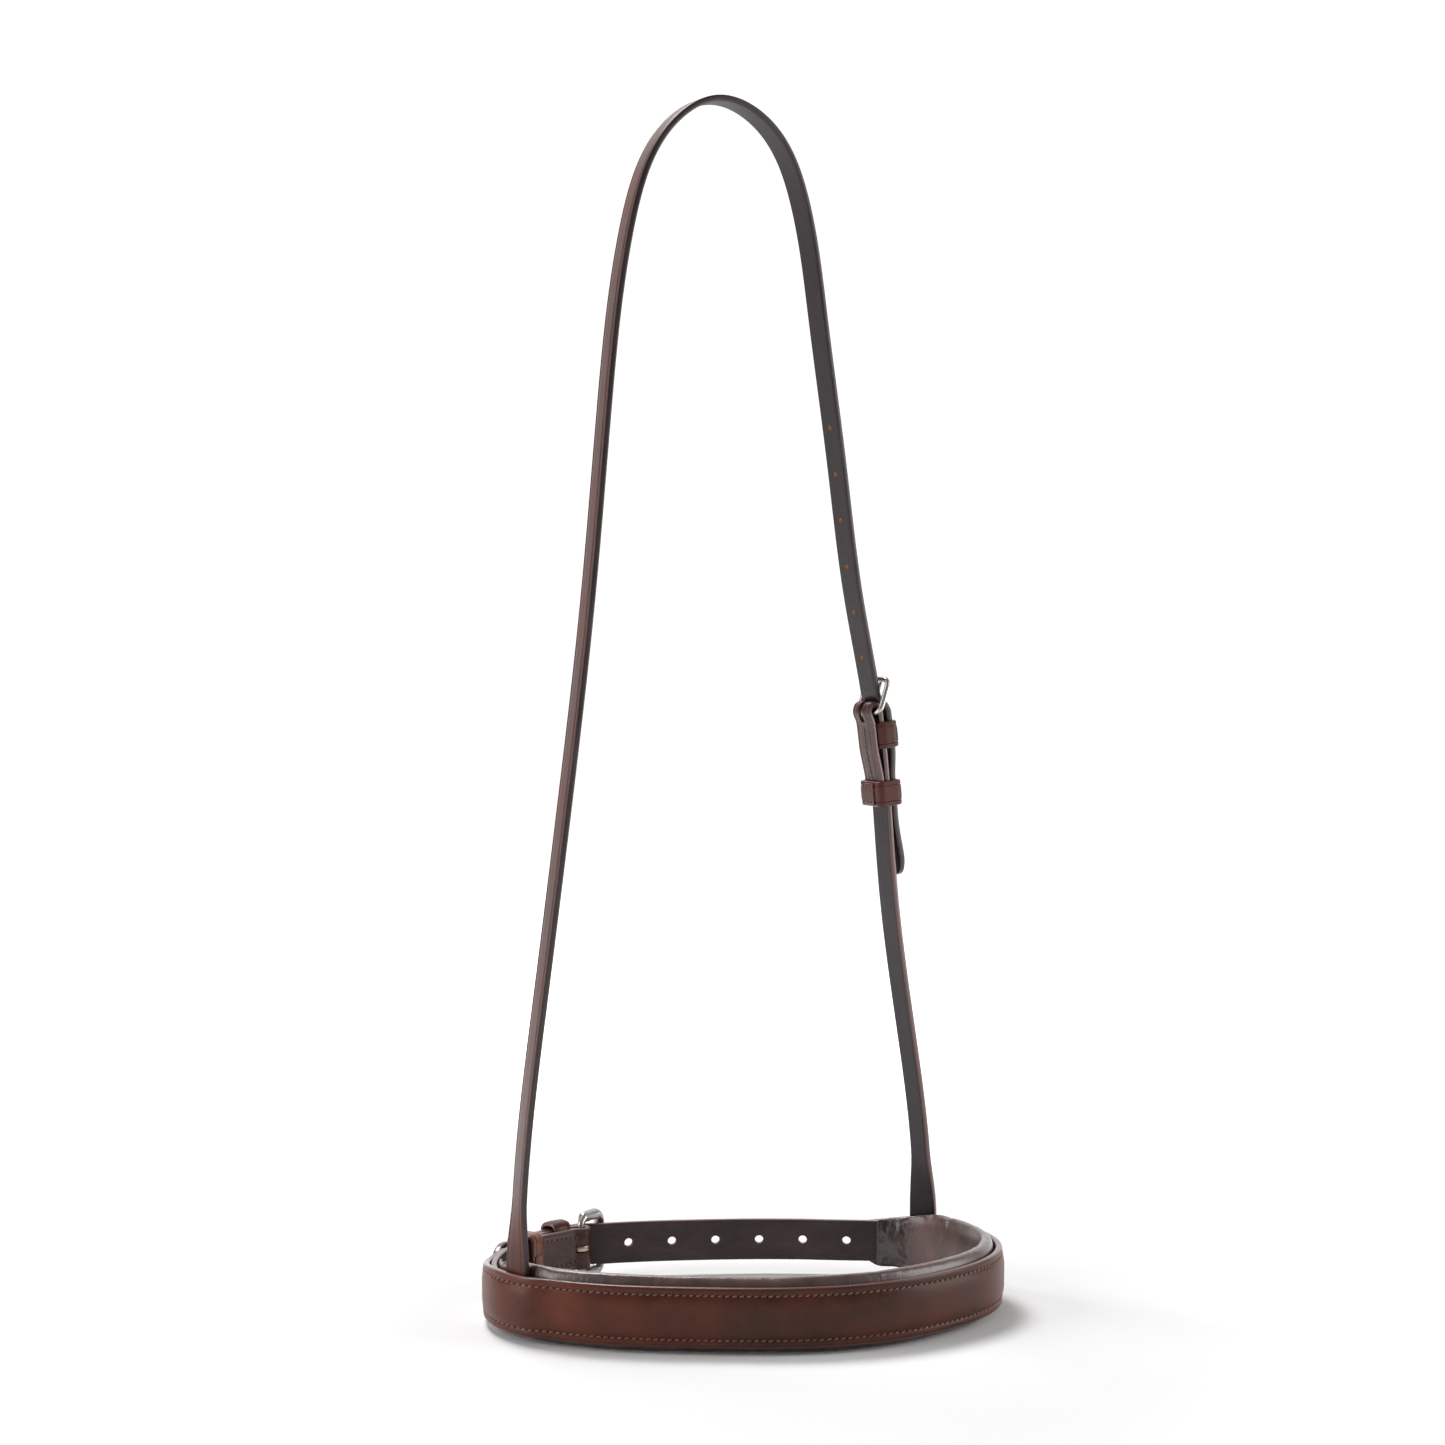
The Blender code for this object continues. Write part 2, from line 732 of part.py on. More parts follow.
def fixed_keeper(name, buckle, material):
    """Loop whose two ends are sewn between the layers of the turned-back strap."""
    thick = buckle.keeper_thick
    half = buckle.strap_width / 2 + buckle.keeper_side + thick / 2
    top = buckle.billet_height + buckle.billet_lift + buckle.billet_thick / 2 + buckle.keeper_top + thick / 2
    low = buckle.tuck_height
    turns = rounded_path(low, top, half, thick * KEEPER_CORNER_SHARE)
    # The closed path is opened at its low side, where the two ends are tucked in
    opened = 3 * (CORNER_STEPS + 1)
    tuck = half - thick - buckle.keeper_tuck
    path = [((low, tuck), (-1.0, 0.0))] + turns[opened:] + turns[:opened] + [((low, -tuck), (-1.0, 0.0))]
    rings = band_rings(buckle, buckle.bar + buckle.keeper_from, buckle.keeper_band, path)
    return add_object(name, make_mesh(name, rings), material)


def runner(name, buckle, far_end, material):
    """Closed loop that slides on the turned-back strap and the punched strap together."""
    wall = buckle.runner_play + buckle.keeper_thick / 2
    half = buckle.strap_width / 2 + wall
    top = buckle.billet_height + buckle.billet_thick / 2 + wall
    start = buckle.bar + buckle.runner_from
    lowest = min(n for s, n in turned_back_line(buckle, far_end) if s >= start - buckle.keeper_tuck)
    low = lowest - buckle.chape_thick / 2 - wall
    path = rounded_path(low, top, half, buckle.keeper_thick * RUNNER_CORNER_SHARE)
    rings = band_rings(buckle, start, buckle.runner_band, path)
    middle = buckle.route.place(start + buckle.runner_band / 2, (low + top) / 2, 0)
    return add_object(name, make_mesh(name, rings, closed=True), material, middle)


def turned_back_strap(name, buckle, far_end, material):
    """Strap folded round the bar, with a slot in the fold for the tongue."""
    line = turned_back_line(buckle, far_end)
    sections = [strap_section(buckle.strap_width, buckle.chape_thick)] * len(line)
    strap = add_object(name, make_mesh(name, strap_rings(buckle.route, line, sections)), material)
    room = buckle.eye_radius + buckle.tongue_thick / 2 + 2 * CLEAR
    deep = buckle.fold_radius + buckle.chape_thick + OVERRUN
    slot = slot_cutter(name + "_slot", buckle.route, (buckle.bar - deep, buckle.bar + room),
                       (buckle.bar_height - deep, buckle.bar_height + deep),
                       buckle.tongue_width / 2 + CLEAR)
    cut(strap, slot)
    return strap


def punched_strap(name, buckle, start, hole, pitch, holes_up, holes_down, material):
    """Strap that passes through the frame and over the bar, punched from end to end."""
    end = buckle.bar + buckle.billet_tail
    low = buckle.bar - buckle.lift_run
    spots = buckle.route.stations(start, low)
    spots += list(np.linspace(low, end - STRAP_TIP, BILLET_STEPS)[1:-1])
    spots += tip_stations(end, STRAP_TIP)
    line = [(s, billet_height(buckle, s)) for s in spots]
    sections = []
    for s in spots:
        width = tip_width(end - s, buckle.strap_width, STRAP_TIP)
        sections.append(strap_section(width, buckle.billet_thick))
    strap = add_object(name, make_mesh(name, strap_rings(buckle.route, line, sections)), material)
    used = crossing(buckle)
    punches = [used - i * pitch for i in range(-holes_down, holes_up + 1) if i != 0]
    cut(strap, hole_cutter(name + "_punch", buckle, punches, hole / 2))
    # The hole in use is drawn long by the tongue: its far end leans with the tongue
    stretch = buckle.billet_thick / 2 + buckle.tongue_thick * TONGUE_DRAW_SHARE
    lean = 1.0 / math.tan(buckle.tilt)
    under = buckle.billet_thick / 2 + TONGUE_DRAW_ROOM
    below = billet_height(buckle, used) - under
    far = used + lean * under - (buckle.tongue_thick / 2 + TONGUE_DRAW_SLACK) / math.sin(buckle.tilt)
    draw = slot_cutter(name + "_draw", buckle.route, (far, used + stretch),
                       (below, buckle.billet_height + buckle.billet_lift + OVERRUN),
                       buckle.tongue_width / 2 + CLEAR, lean)
    cut(strap, draw)
    return strap


def nose_edges(s):
    """Heights of the leather's upper and lower edge above and below its middle line."""
    distance = NOSE_HALF_LENGTH - abs(s)
    end = NOSE_HALF_LENGTH if s < 0 else NOSE_RIGHT_LENGTH
    corner = 1.0 - min(1.0, (end - abs(s)) / NOSE_TIP_RADIUS)
    tip = NOSE_TIP_RADIUS * (1.0 - math.sqrt(max(0.0, 1.0 - corner * corner)))
    upper = mix(NOSE_TAB_HALF, NOSE_HEIGHT / 2, smooth_step(distance, *NOSE_UPPER_FALL))
    lower = mix(NOSE_TAB_HALF, NOSE_HEIGHT / 2, smooth_step(distance, *NOSE_LOWER_FALL))
    return upper - tip, lower - tip


def nose_opening(s):
    """Half the room between leather and padding: a skin gap in front, a strap's thickness at the ends."""
    reach = HEAD_REACH if s < 0 else CHEEK_REACH
    start = reach - HEAD_WIDTH / 2 - OPENING_MARGIN
    end = reach + HEAD_WIDTH / 2
    entry = ENTRY_ROOM * (1.0 - smooth_step(abs(s), end, end + OPENING_RUN))
    room = CHIN_THICK / 2 + CLEAR + entry
    return mix(NOSE_SKIN / 2, room, smooth_step(abs(s), start - OPENING_RUN, start))


def nosepiece_leather(material):
    """Raised outer leather of the nosepiece."""
    inner = LOOP.stations(NOSE_TIP_RADIUS - NOSE_HALF_LENGTH, NOSE_RIGHT_LENGTH - NOSE_TIP_RADIUS)
    tip = [NOSE_TIP_RADIUS * (1.0 - math.sin(math.radians(a))) for a in END_ANGLES]
    spots = [t - NOSE_HALF_LENGTH for t in reversed(tip)] + inner + [NOSE_RIGHT_LENGTH - t for t in tip]
    line = []
    sections = []
    for s in spots:
        distance = NOSE_HALF_LENGTH - abs(s)
        ease = smooth_step(distance, *NOSE_UPPER_FALL)
        thick = mix(NOSE_TAB_THICK, NOSE_THICK, smooth_step(distance, *NOSE_THIN_FALL))
        upper, lower = nose_edges(s)
        section = strap_section(upper + lower, thick, NOSE_EDGE_RADIUS,
                                NOSE_CROWN * mix(NOSE_END_CROWN_SHARE, 1.0, ease))
        line.append((s, nose_opening(s) + thick / 2))
        sections.append([(h, w + (upper - lower) / 2) for h, w in section])
    rings = strap_rings(LOOP, line, sections)
    return add_object("nosepiece_leather", make_mesh("nosepiece_leather", rings), material)


def pad_outline(depth, height, shrink):
    """Inner side of the padding's section as (n, w) points from top lip to bottom lip."""
    half = height / 2 - shrink
    roll = min(PAD_ROLL, depth * PAD_ROLL_SHARE) - shrink
    waist = half - roll
    swell = PAD_SWELL * depth / PAD_DEPTH
    back = -depth + shrink + swell
    upper = [(-shrink, waist)]
    for step in range(1, PAD_ROLL_STEPS):
        angle = math.pi * step / PAD_ROLL_STEPS
        upper.append((-roll - shrink + roll * math.cos(angle), waist + roll * math.sin(angle)))
    upper.append((min(-2 * roll - shrink, back), waist))
    inner = [(back - swell * (1.0 - share * share), waist * share) for share in PAD_SIDE_SHARES]
    return upper + inner + [(n, -w) for n, w in reversed(upper)]


def pad_sizes(s):
    """Depth and height of the padding at s, with its sunk ends."""
    share = smooth_step(PAD_HALF_LENGTH - abs(s), 0.0, PAD_TAPER)
    depth = mix(PAD_END_DEPTH, PAD_DEPTH - (nose_opening(s) - NOSE_SKIN / 2), share)
    return depth, mix(PAD_END_HEIGHT, PAD_HEIGHT, share)


def padding_lining(material):
    """Leather skin of the padding, open towards the nosepiece where its edges are sewn in."""
    rings = []
    for s in LOOP.stations(-PAD_HALF_LENGTH, PAD_HALF_LENGTH):
        depth, height = pad_sizes(s)
        outer = pad_outline(depth, height, 0.0)
        inner = pad_outline(depth, height, LINING_THICK)
        lip = outer[0][1] - LINING_LIP
        section = [(0.0, lip)] + outer + [(0.0, -lip), (-LINING_THICK, -lip)]
        section += list(reversed(inner)) + [(-LINING_THICK, lip)]
        rings.append([LOOP.place(s, n - nose_opening(s), w) for n, w in section])
    return add_object("padding_lining", make_mesh("padding_lining", rings, folded=True), material)


def padding_foam(material):
    """Soft filler that fills the lining."""
    rings = []
    reach = PAD_HALF_LENGTH - FILLER_SHORT
    for s in LOOP.stations(-PAD_HALF_LENGTH, PAD_HALF_LENGTH):
        if abs(s) <= reach:
            depth, height = pad_sizes(s)
            section = pad_outline(depth, height, LINING_THICK + CLEAR)
            rings.append([LOOP.place(s, n - nose_opening(s), w) for n, w in section])
    return add_object("padding_foam", make_mesh("padding_foam", rings), material)


def build():
    for obj in list(bpy.data.objects):
        bpy.data.objects.remove(obj, do_unlink=True)

    outer = make_material("bridle_leather", (0.105, 0.040, 0.028), 0.34, 0.0)
    lining = make_material("lining_leather", (0.085, 0.050, 0.045), 0.42, 0.0)
    filler = make_material("soft_filler", (0.55, 0.50, 0.42), 0.95, 0.0)
    metal = make_material("nickel", (0.66, 0.65, 0.62), 0.22, 1.0)

    nosepiece_leather(outer)
    padding_lining(lining)
    padding_foam(filler)

    cheek = replace(CHEEK_BUCKLE, route=ARCH, bar=ARCH.length - CHEEK_LENGTH)
    punched_strap("head_strap", cheek, 0.0, HEAD_HOLE, HEAD_PITCH, HEAD_HOLES_UP, HEAD_HOLES_DOWN, outer)
    turned_back_strap("cheek_strap", cheek, ARCH.length, outer)

    chin = replace(CHIN_BUCKLE, route=LOOP, bar=LOOP.length - NOSE_HALF_LENGTH - CHAPE_REACH)
    chin_start = CHEEK_REACH + HEAD_WIDTH / 2 + STRAP_GAP
    chape_end = LOOP.length - HEAD_REACH - HEAD_WIDTH / 2 - STRAP_GAP
    punched_strap("chin_strap", chin, chin_start, CHIN_HOLE, CHIN_PITCH, CHIN_HOLES_UP,
                  CHIN_HOLES_DOWN, outer)
    turned_back_strap("chin_chape", chin, chape_end, outer)

    for prefix, buckle, far_end in (("cheek", cheek, ARCH.length), ("chin", chin, chape_end)):
        buckle_frame(prefix + "_buckle_frame", buckle, metal)
        buckle_tongue(prefix + "_buckle_tongue", buckle, metal)
        fixed_keeper(prefix + "_fixed_keeper", buckle, outer)
        ring = runner(prefix + "_runner", buckle, far_end, outer)
        hinge = buckle.route.axes(buckle.bar)[3]
        slide = buckle.route.axes(buckle.bar + buckle.runner_from + buckle.runner_band / 2)[1]
        print(prefix, "bar", [round(v, 5) for v in buckle.pivot], "axis", [round(v, 4) for v in hinge],
              "runner", [round(v, 5) for v in ring.location], "slides", [round(v, 4) for v in slide])
    print("loop length", round(LOOP.length, 4), "head strap run", round(ARCH.length, 4))


build()
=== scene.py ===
# %% [markdown]
# # A padded bridle noseband
# A noseband goes round a horse's nose and hangs from its own head strap. It is made of strap
# leather: a raised nosepiece stitched over a soft roll, a chin strap with a buckle, and the head
# strap with a smaller buckle at one cheek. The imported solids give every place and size, so the
# script starts by loading them. Each solid is then replaced by a finer piece in the same place.
# The order is the saddler's: straps are cut and punched flat, then bent on to their runs.

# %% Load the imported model
import math

import bmesh
import bpy
import numpy as np
from mathutils import Matrix, Vector, noise


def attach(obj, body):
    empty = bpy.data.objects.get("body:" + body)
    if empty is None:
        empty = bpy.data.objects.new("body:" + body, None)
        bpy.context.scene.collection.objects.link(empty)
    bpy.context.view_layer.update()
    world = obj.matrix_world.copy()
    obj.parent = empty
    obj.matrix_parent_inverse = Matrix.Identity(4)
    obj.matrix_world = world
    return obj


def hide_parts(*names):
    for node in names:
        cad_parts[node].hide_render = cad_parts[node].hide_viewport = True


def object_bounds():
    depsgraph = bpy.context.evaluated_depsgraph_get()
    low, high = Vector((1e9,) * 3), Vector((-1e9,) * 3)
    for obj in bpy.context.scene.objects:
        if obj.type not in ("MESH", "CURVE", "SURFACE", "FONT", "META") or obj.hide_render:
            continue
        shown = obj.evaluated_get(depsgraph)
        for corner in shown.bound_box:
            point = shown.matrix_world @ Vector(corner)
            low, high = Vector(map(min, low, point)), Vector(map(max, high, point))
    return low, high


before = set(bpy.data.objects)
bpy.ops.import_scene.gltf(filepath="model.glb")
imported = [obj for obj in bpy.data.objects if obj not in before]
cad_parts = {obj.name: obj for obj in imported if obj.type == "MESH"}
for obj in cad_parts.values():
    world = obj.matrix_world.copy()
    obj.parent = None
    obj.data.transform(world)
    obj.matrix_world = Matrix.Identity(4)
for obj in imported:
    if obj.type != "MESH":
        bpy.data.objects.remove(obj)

CAD_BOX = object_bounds()
print("solids:", ", ".join(sorted(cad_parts)))

# %% [markdown]
# ## Sizes
# Lengths are in metres, written as millimetres times MM. They are the real sizes of this
# noseband: a half-inch head strap, a three-quarter-inch chin strap and a one-inch nosepiece.

# %% Sizes of the straps and the nosepiece
MM = 0.001
CLEAR = 0.3 * MM
LOOP_HALF_WIDTH = 113.0 * MM
LOOP_HALF_DEPTH = 84.0 * MM
HANG = 514.0 * MM
LOOP_FRONT = 6.4 * MM
LOOP_SIDE = 3.2 * MM
NOSE_TURN = 13.0 * MM
NOSE_HEIGHT = 25.4 * MM
NOSE_THICK = 3.0 * MM
NOSE_CROWN = 1.0 * MM
NOSE_HALF_LENGTH = 216.0 * MM
NOSE_RIGHT_LENGTH = 194.0 * MM
NOSE_TAB_HALF = 8.6 * MM
NOSE_TAB_THICK = 2.0 * MM
NOSE_UPPER_FALL = (18.0 * MM, 61.0 * MM)
NOSE_LOWER_FALL = (22.0 * MM, 32.0 * MM)
NOSE_THIN_FALL = (11.0 * MM, 30.0 * MM)
NOSE_TIP_RADIUS = 5.0 * MM
NOSE_SKIN = 0.2 * MM
ENTRY_ROOM = 0.4 * MM
OPENING_RUN = 13.0 * MM
OPENING_MARGIN = 1.3 * MM
PAD_HEIGHT = 32.0 * MM
PAD_DEPTH = 8.0 * MM
PAD_END_HEIGHT = 21.0 * MM
PAD_END_DEPTH = 2.4 * MM
PAD_HALF_LENGTH = 186.0 * MM
PAD_TAPER = 38.0 * MM
HEAD_WIDTH = 13.0 * MM
HEAD_THICK = 2.8 * MM
CHEEK_THICK = 2.6 * MM
HEAD_REACH = 149.3 * MM
CHEEK_REACH = 163.7 * MM
CHEEK_LENGTH = 257.6 * MM
CHEEK_SINK = 8.0 * MM
TWIST_RUN = 32.0 * MM
ARCH_HALF_SPAN = 104.0 * MM
LEFT_LEAN = math.radians(8.0)
CROWN_HALF = 60.0 * MM
HEAD_HOLE = 2.8 * MM
HEAD_PITCH = 20.9 * MM
CHIN_WIDTH = 19.0 * MM
CHIN_THICK = 3.0 * MM
CHAPE_THICK = 2.6 * MM
CHAPE_REACH = 46.7 * MM
STRAP_GAP = 2.0 * MM
CHIN_HOLE = 4.0 * MM
CHIN_PITCH = 20.4 * MM
STRAP_EDGE = 0.7 * MM
STRAP_TIP = 11.0 * MM
print("hangs", round(HANG / MM), "mm below the crown")

# %% [markdown]
# ## The two runs
# Every strap lies along one of two lines: the loop round the nose and the arch over the head.
# A smooth spline through listed points gives each line. A run then offers three directions
# at every place: along it, out of its face, and across it. A point of flat leather needs only
# its distance along, its height and its place across to find its spot in the air.

# %% Spline and blends
def smooth_step(value, start, end):
    """Share from 0 at start to 1 at end, level at both; works on single values and arrays."""
    share = np.clip((value - start) / (end - start), 0.0, 1.0)
    return share * share * (3.0 - 2.0 * share)


def mix(first, second, share):
    return first + (second - first) * share


def reach_along(points):
    """Distance along a line from its first point to every point."""
    steps = np.linalg.norm(np.diff(points, axis=0), axis=1)
    return np.concatenate([[0.0], np.cumsum(steps)])


def smooth_curve(points, closed, count):
    """Cubic spline through the points, with an even bend at every one of them."""
    knots = np.array([tuple(p) for p in points])
    if closed:
        knots = np.vstack([knots, knots[:1]])
    place = reach_along(knots)
    gaps = np.diff(place)
    size = len(knots)
    matrix = np.zeros((size, size))
    right = np.zeros((size, knots.shape[1]))
    slopes = np.diff(knots, axis=0) / gaps[:, None]
    for i in range(1, size - 1):
        matrix[i, i - 1:i + 2] = (gaps[i - 1], 2.0 * (gaps[i - 1] + gaps[i]), gaps[i])
        right[i] = 6.0 * (slopes[i] - slopes[i - 1])
    if closed:
        matrix[0, :2] = (2.0 * (gaps[-1] + gaps[0]), gaps[0])
        matrix[0, -2] = gaps[-1]
        right[0] = 6.0 * (slopes[0] - slopes[-1])
        matrix[-1, 0], matrix[-1, -1] = 1.0, -1.0
    else:
        matrix[0, 0] = matrix[-1, -1] = 1.0
    bend = np.linalg.solve(matrix, right)
    at = np.linspace(0.0, place[-1], count)
    i = np.clip(np.searchsorted(place, at, side="right") - 1, 0, size - 2)
    left = ((place[i + 1] - at) / gaps[i])[:, None]
    back = ((at - place[i]) / gaps[i])[:, None]
    cubic = (left ** 3 - left) * bend[i] + (back ** 3 - back) * bend[i + 1]
    return left * knots[i] + back * knots[i + 1] + cubic * (gaps[i] ** 2)[:, None] / 6.0


def unit(rows):
    return rows / np.linalg.norm(rows, axis=-1, keepdims=True)


class Run:
    """A line with three directions: s along it, n out of its face, w across it."""

    def __init__(self, line, across, closed):
        self.closed = closed
        self.reach = reach_along(line)
        self.length = self.reach[-1]
        if closed:
            around = np.vstack([line[-2], line, line[1]])
            along = unit(around[2:] - around[:-2])
        else:
            along = unit(np.gradient(line, axis=0))
        across = unit(across - along * np.sum(along * across, axis=1, keepdims=True))
        self.tables = (line, along, np.cross(along, across), across)

    def look_up(self, table, s):
        s = np.asarray(s, float)
        s = s % self.length if self.closed else np.clip(s, 0.0, self.length)
        return np.stack([np.interp(s, self.reach, table[:, k]) for k in range(3)], axis=-1)

    def axes(self, s):
        spot, along, out, across = (self.look_up(t, s) for t in self.tables)
        return spot, unit(along), unit(out), unit(across)

    def place(self, s, n, w):
        spot, _, out, across = self.axes(s)
        return spot + out * np.asarray(n)[..., None] + across * np.asarray(w)[..., None]

# %% The loop round the nose
LOOP_SHARES = [
    (0.23, -0.995), (0.53, -0.955), (0.79, -0.81), (0.945, -0.575), (0.995, -0.29), (0.975, -0.02),
    (0.885, 0.18), (0.72, 0.35), (0.50, 0.55), (0.22, 0.75), (-0.08, 0.915), (-0.32, 0.98),
    (-0.525, 0.905), (-0.70, 0.735), (-0.835, 0.53), (-0.91, 0.29), (-0.90, 0.04), (-0.81, -0.18),
    (-0.655, -0.40), (-0.41, -0.64), (-0.10, -0.88),
]
LOOP_SAMPLES = 900
UP = np.array([0.0, 0.0, 1.0])


def make_loop():
    points = [(LOOP_SIDE + x * LOOP_HALF_WIDTH, y * LOOP_HALF_DEPTH - LOOP_FRONT, -HANG)
              for x, y in LOOP_SHARES]
    line = smooth_curve(points, True, LOOP_SAMPLES)
    loop = Run(line, np.tile(UP, (LOOP_SAMPLES, 1)), True)
    starts = np.linspace(-NOSE_TURN, loop.length - NOSE_TURN, LOOP_SAMPLES)
    return Run(loop.look_up(line, starts), np.tile(UP, (LOOP_SAMPLES, 1)), True)


LOOP = make_loop()
print("loop", round(LOOP.length / MM), "mm round")

# %% The arch over the head
ARCH_SHARES = [
    (-0.962, -0.890), (-0.873, -0.750), (-0.756, -0.584), (-0.651, -0.419), (-0.570, -0.254),
    (-0.464, -0.109), (-0.275, -0.025), (-0.050, 0.000), (0.213, -0.022), (0.366, -0.080),
    (0.458, -0.178), (0.555, -0.305), (0.642, -0.420), (0.742, -0.517), (0.830, -0.685),
    (0.936, -0.822), (0.996, -0.905),
]
ARCH_SAMPLES = 1600


def make_arch():
    left = LOOP.place(-HEAD_REACH, 0, -CHEEK_SINK)
    right = LOOP.place(CHEEK_REACH, 0, -CHEEK_SINK)
    rise = UP * (CHEEK_SINK + NOSE_HEIGHT / 2)
    run = right - left
    run[2] = 0.0
    run = unit(run)
    middle = (left + right) / 2
    points = [left, left + rise]
    for x_share, z_share in ARCH_SHARES:
        x = LOOP_SIDE + x_share * ARCH_HALF_SPAN
        y = middle[1] + (x - middle[0]) * run[1] / run[0]
        points.append(np.array([x, y, z_share * HANG + HEAD_THICK / 2]))
    points += [right + rise, right]
    line = smooth_curve(points, False, ARCH_SAMPLES)
    rear = np.array([-run[1], run[0], 0.0])
    leaned = np.array(Matrix.Rotation(-LEFT_LEAN, 3, "Z") @ Vector(rear))
    left_face = -LOOP.axes(-HEAD_REACH)[1]
    right_face = LOOP.axes(CHEEK_REACH)[1]
    upper = mix(leaned, rear, smooth_step(line[:, :1], -CROWN_HALF, CROWN_HALF))
    face = np.where(line[:, :1] < middle[0], left_face, right_face)
    face_top = left[2] + rise[2]
    share = smooth_step(line[:, 2:], face_top, face_top + TWIST_RUN)
    return Run(line, mix(face, upper, share), False)


ARCH = make_arch()
print("head and cheek straps", round(ARCH.length / MM), "mm in all")

# %% [markdown]
# ## Bending flat leather
# Leather is cut, skived, creased and punched while it lies flat, and only then bent. The same
# order keeps the modelling simple: a flat blank is a block that bmesh operators cut, bevel and
# subdivide. Its flat places are kept in an attribute, so that the grain of every material
# follows the leather round each bend, and then each vertex moves to its place on the run.

# %% Middle line of a strap, and bending
class Middle:
    """A strap's middle as heights over a run: x along the leather, h off its middle, w across."""

    def __init__(self, run, spots, heights):
        self.run = run
        self.line = np.stack([np.asarray(spots, float), np.asarray(heights, float)], axis=1)
        self.reach = reach_along(self.line)
        self.length = self.reach[-1]
        self.slope = unit(np.gradient(self.line, axis=0))

    def flat(self, s):
        """Distance along the leather where it first reaches s."""
        return float(np.interp(s, self.line[:, 0], self.reach))

    def place(self, x, h, w):
        s = np.interp(x, self.reach, self.line[:, 0])
        n = np.interp(x, self.reach, self.line[:, 1])
        ds = np.interp(x, self.reach, self.slope[:, 0])
        dn = np.interp(x, self.reach, self.slope[:, 1])
        past = x - np.clip(x, 0.0, self.length)
        return self.run.place(s + ds * past - dn * h, n + dn * past + ds * h, w)

    def place_turned(self, x, h, w):
        """Place for a strap that lies the other way up."""
        return self.place(x, -h, -w)


def vertex_places(mesh):
    co = np.zeros(len(mesh.vertices) * 3)
    mesh.vertices.foreach_get("co", co)
    return co.reshape(-1, 3)


def bend_piece(obj, place):
    """Keep the flat places in an attribute, then move every vertex with place(x, h, w)."""
    mesh = obj.data
    flat = vertex_places(mesh)
    mesh.attributes.new("flat", "FLOAT_VECTOR", "POINT").data.foreach_set("vector", flat.ravel())
    bent = place(flat[:, 0], flat[:, 2], flat[:, 1])
    mesh.vertices.foreach_set("co", bent.ravel())
    mesh.update()


SHARP = math.radians(38.0)
VERT, LINE = bmesh.types.BMVert, bmesh.types.BMEdge


def new_object(name, data):
    obj = bpy.data.objects.new(name, data)
    bpy.context.scene.collection.objects.link(obj)
    return obj


def add_piece(name, bm, materials):
    mesh = bpy.data.meshes.new(name)
    bm.to_mesh(mesh)
    bm.free()
    for material in materials:
        mesh.materials.append(material)
    mesh.shade_smooth()
    mesh.set_sharp_from_angle(angle=SHARP)
    return new_object(name, mesh)


def only(kind, made):
    """The vertices, or the edges, among what a bmesh operator made."""
    return [g for g in made if isinstance(g, kind)]


def subdivide_once(obj):
    smooth = obj.modifiers.new("smooth", "SUBSURF")
    smooth.levels = smooth.render_levels = 1


def finish_piece(obj, body, *nodes):
    """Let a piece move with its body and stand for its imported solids."""
    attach(obj, body)
    if nodes:
        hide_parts(*nodes)
    obj.data.calc_loop_triangles()
    print(obj.name, len(obj.data.loop_triangles), "triangles")

# %% [markdown]
# ## Colours and nodes
# A few helpers serve every material. One turns a colour read from a paint chart, a hex value,
# into the linear numbers that Blender works in. Another adds a node, sets it and links it. The
# rest name what is used again and again: a sum, a range, a ramp, a noise and a bump.

# %% Colour and node helpers
def linear(code):
    """Linear colour of an sRGB hex value."""
    parts = [int(code[i:i + 2], 16) / 255 for i in (1, 3, 5)]
    return [p / 12.92 if p <= 0.04045 else ((p + 0.055) / 1.055) ** 2.4 for p in parts] + [1.0]


def add_node(material, kind, inputs=(), **settings):
    """New node; each input is (name or number, value or the socket that feeds it)."""
    tree = material.node_tree
    node = tree.nodes.new("ShaderNode" + kind)
    for key, value in settings.items():
        setattr(node, key, value)
    for key, value in dict(inputs).items():
        if isinstance(value, bpy.types.NodeSocket):
            tree.links.new(value, node.inputs[key])
        else:
            node.inputs[key].default_value = value
    return node


def shader_of(material):
    return material.node_tree.nodes["Principled BSDF"]


def feed(material, key, socket):
    """Link a socket to an input of the material's own shader."""
    material.node_tree.links.new(socket, shader_of(material).inputs[key])


def new_material(name, settings):
    material = bpy.data.materials.new(name)
    material.use_nodes = True
    for key, value in settings.items():
        shader_of(material).inputs[key].default_value = value
    return material


def per(size):
    """Texture scale for a pattern that repeats once in this size, in metres."""
    return 1.0 / size


def math_node(material, operation, *values):
    return add_node(material, "Math", enumerate(values), operation=operation).outputs[0]


def spread(material, value, spans, **settings):
    """Bring a value from the range of the first two spans into that of the last two."""
    names = ("From Min", "From Max", "To Min", "To Max")
    inputs = {"Value": value, **dict(zip(names, spans))}
    return add_node(material, "MapRange", inputs, **settings).outputs[0]


def ramp(material, value, stops):
    """Colour ramp with (place, colour) stops."""
    node = add_node(material, "ValToRGB", {"Fac": value})
    band = node.color_ramp
    while len(band.elements) < len(stops):
        band.elements.new(0.5)
    for element, (place, colour) in zip(band.elements, stops):
        element.position = place
        element.color = linear(colour)
    return node.outputs["Color"]


def speckle(material, place, size, detail, roughness=0.5, distortion=0.0):
    """Noise with patches of about this size."""
    return add_node(material, "TexNoise", {
        "Vector": place, "Scale": per(size), "Detail": detail, "Roughness": roughness,
        "Distortion": distortion}).outputs["Fac"]


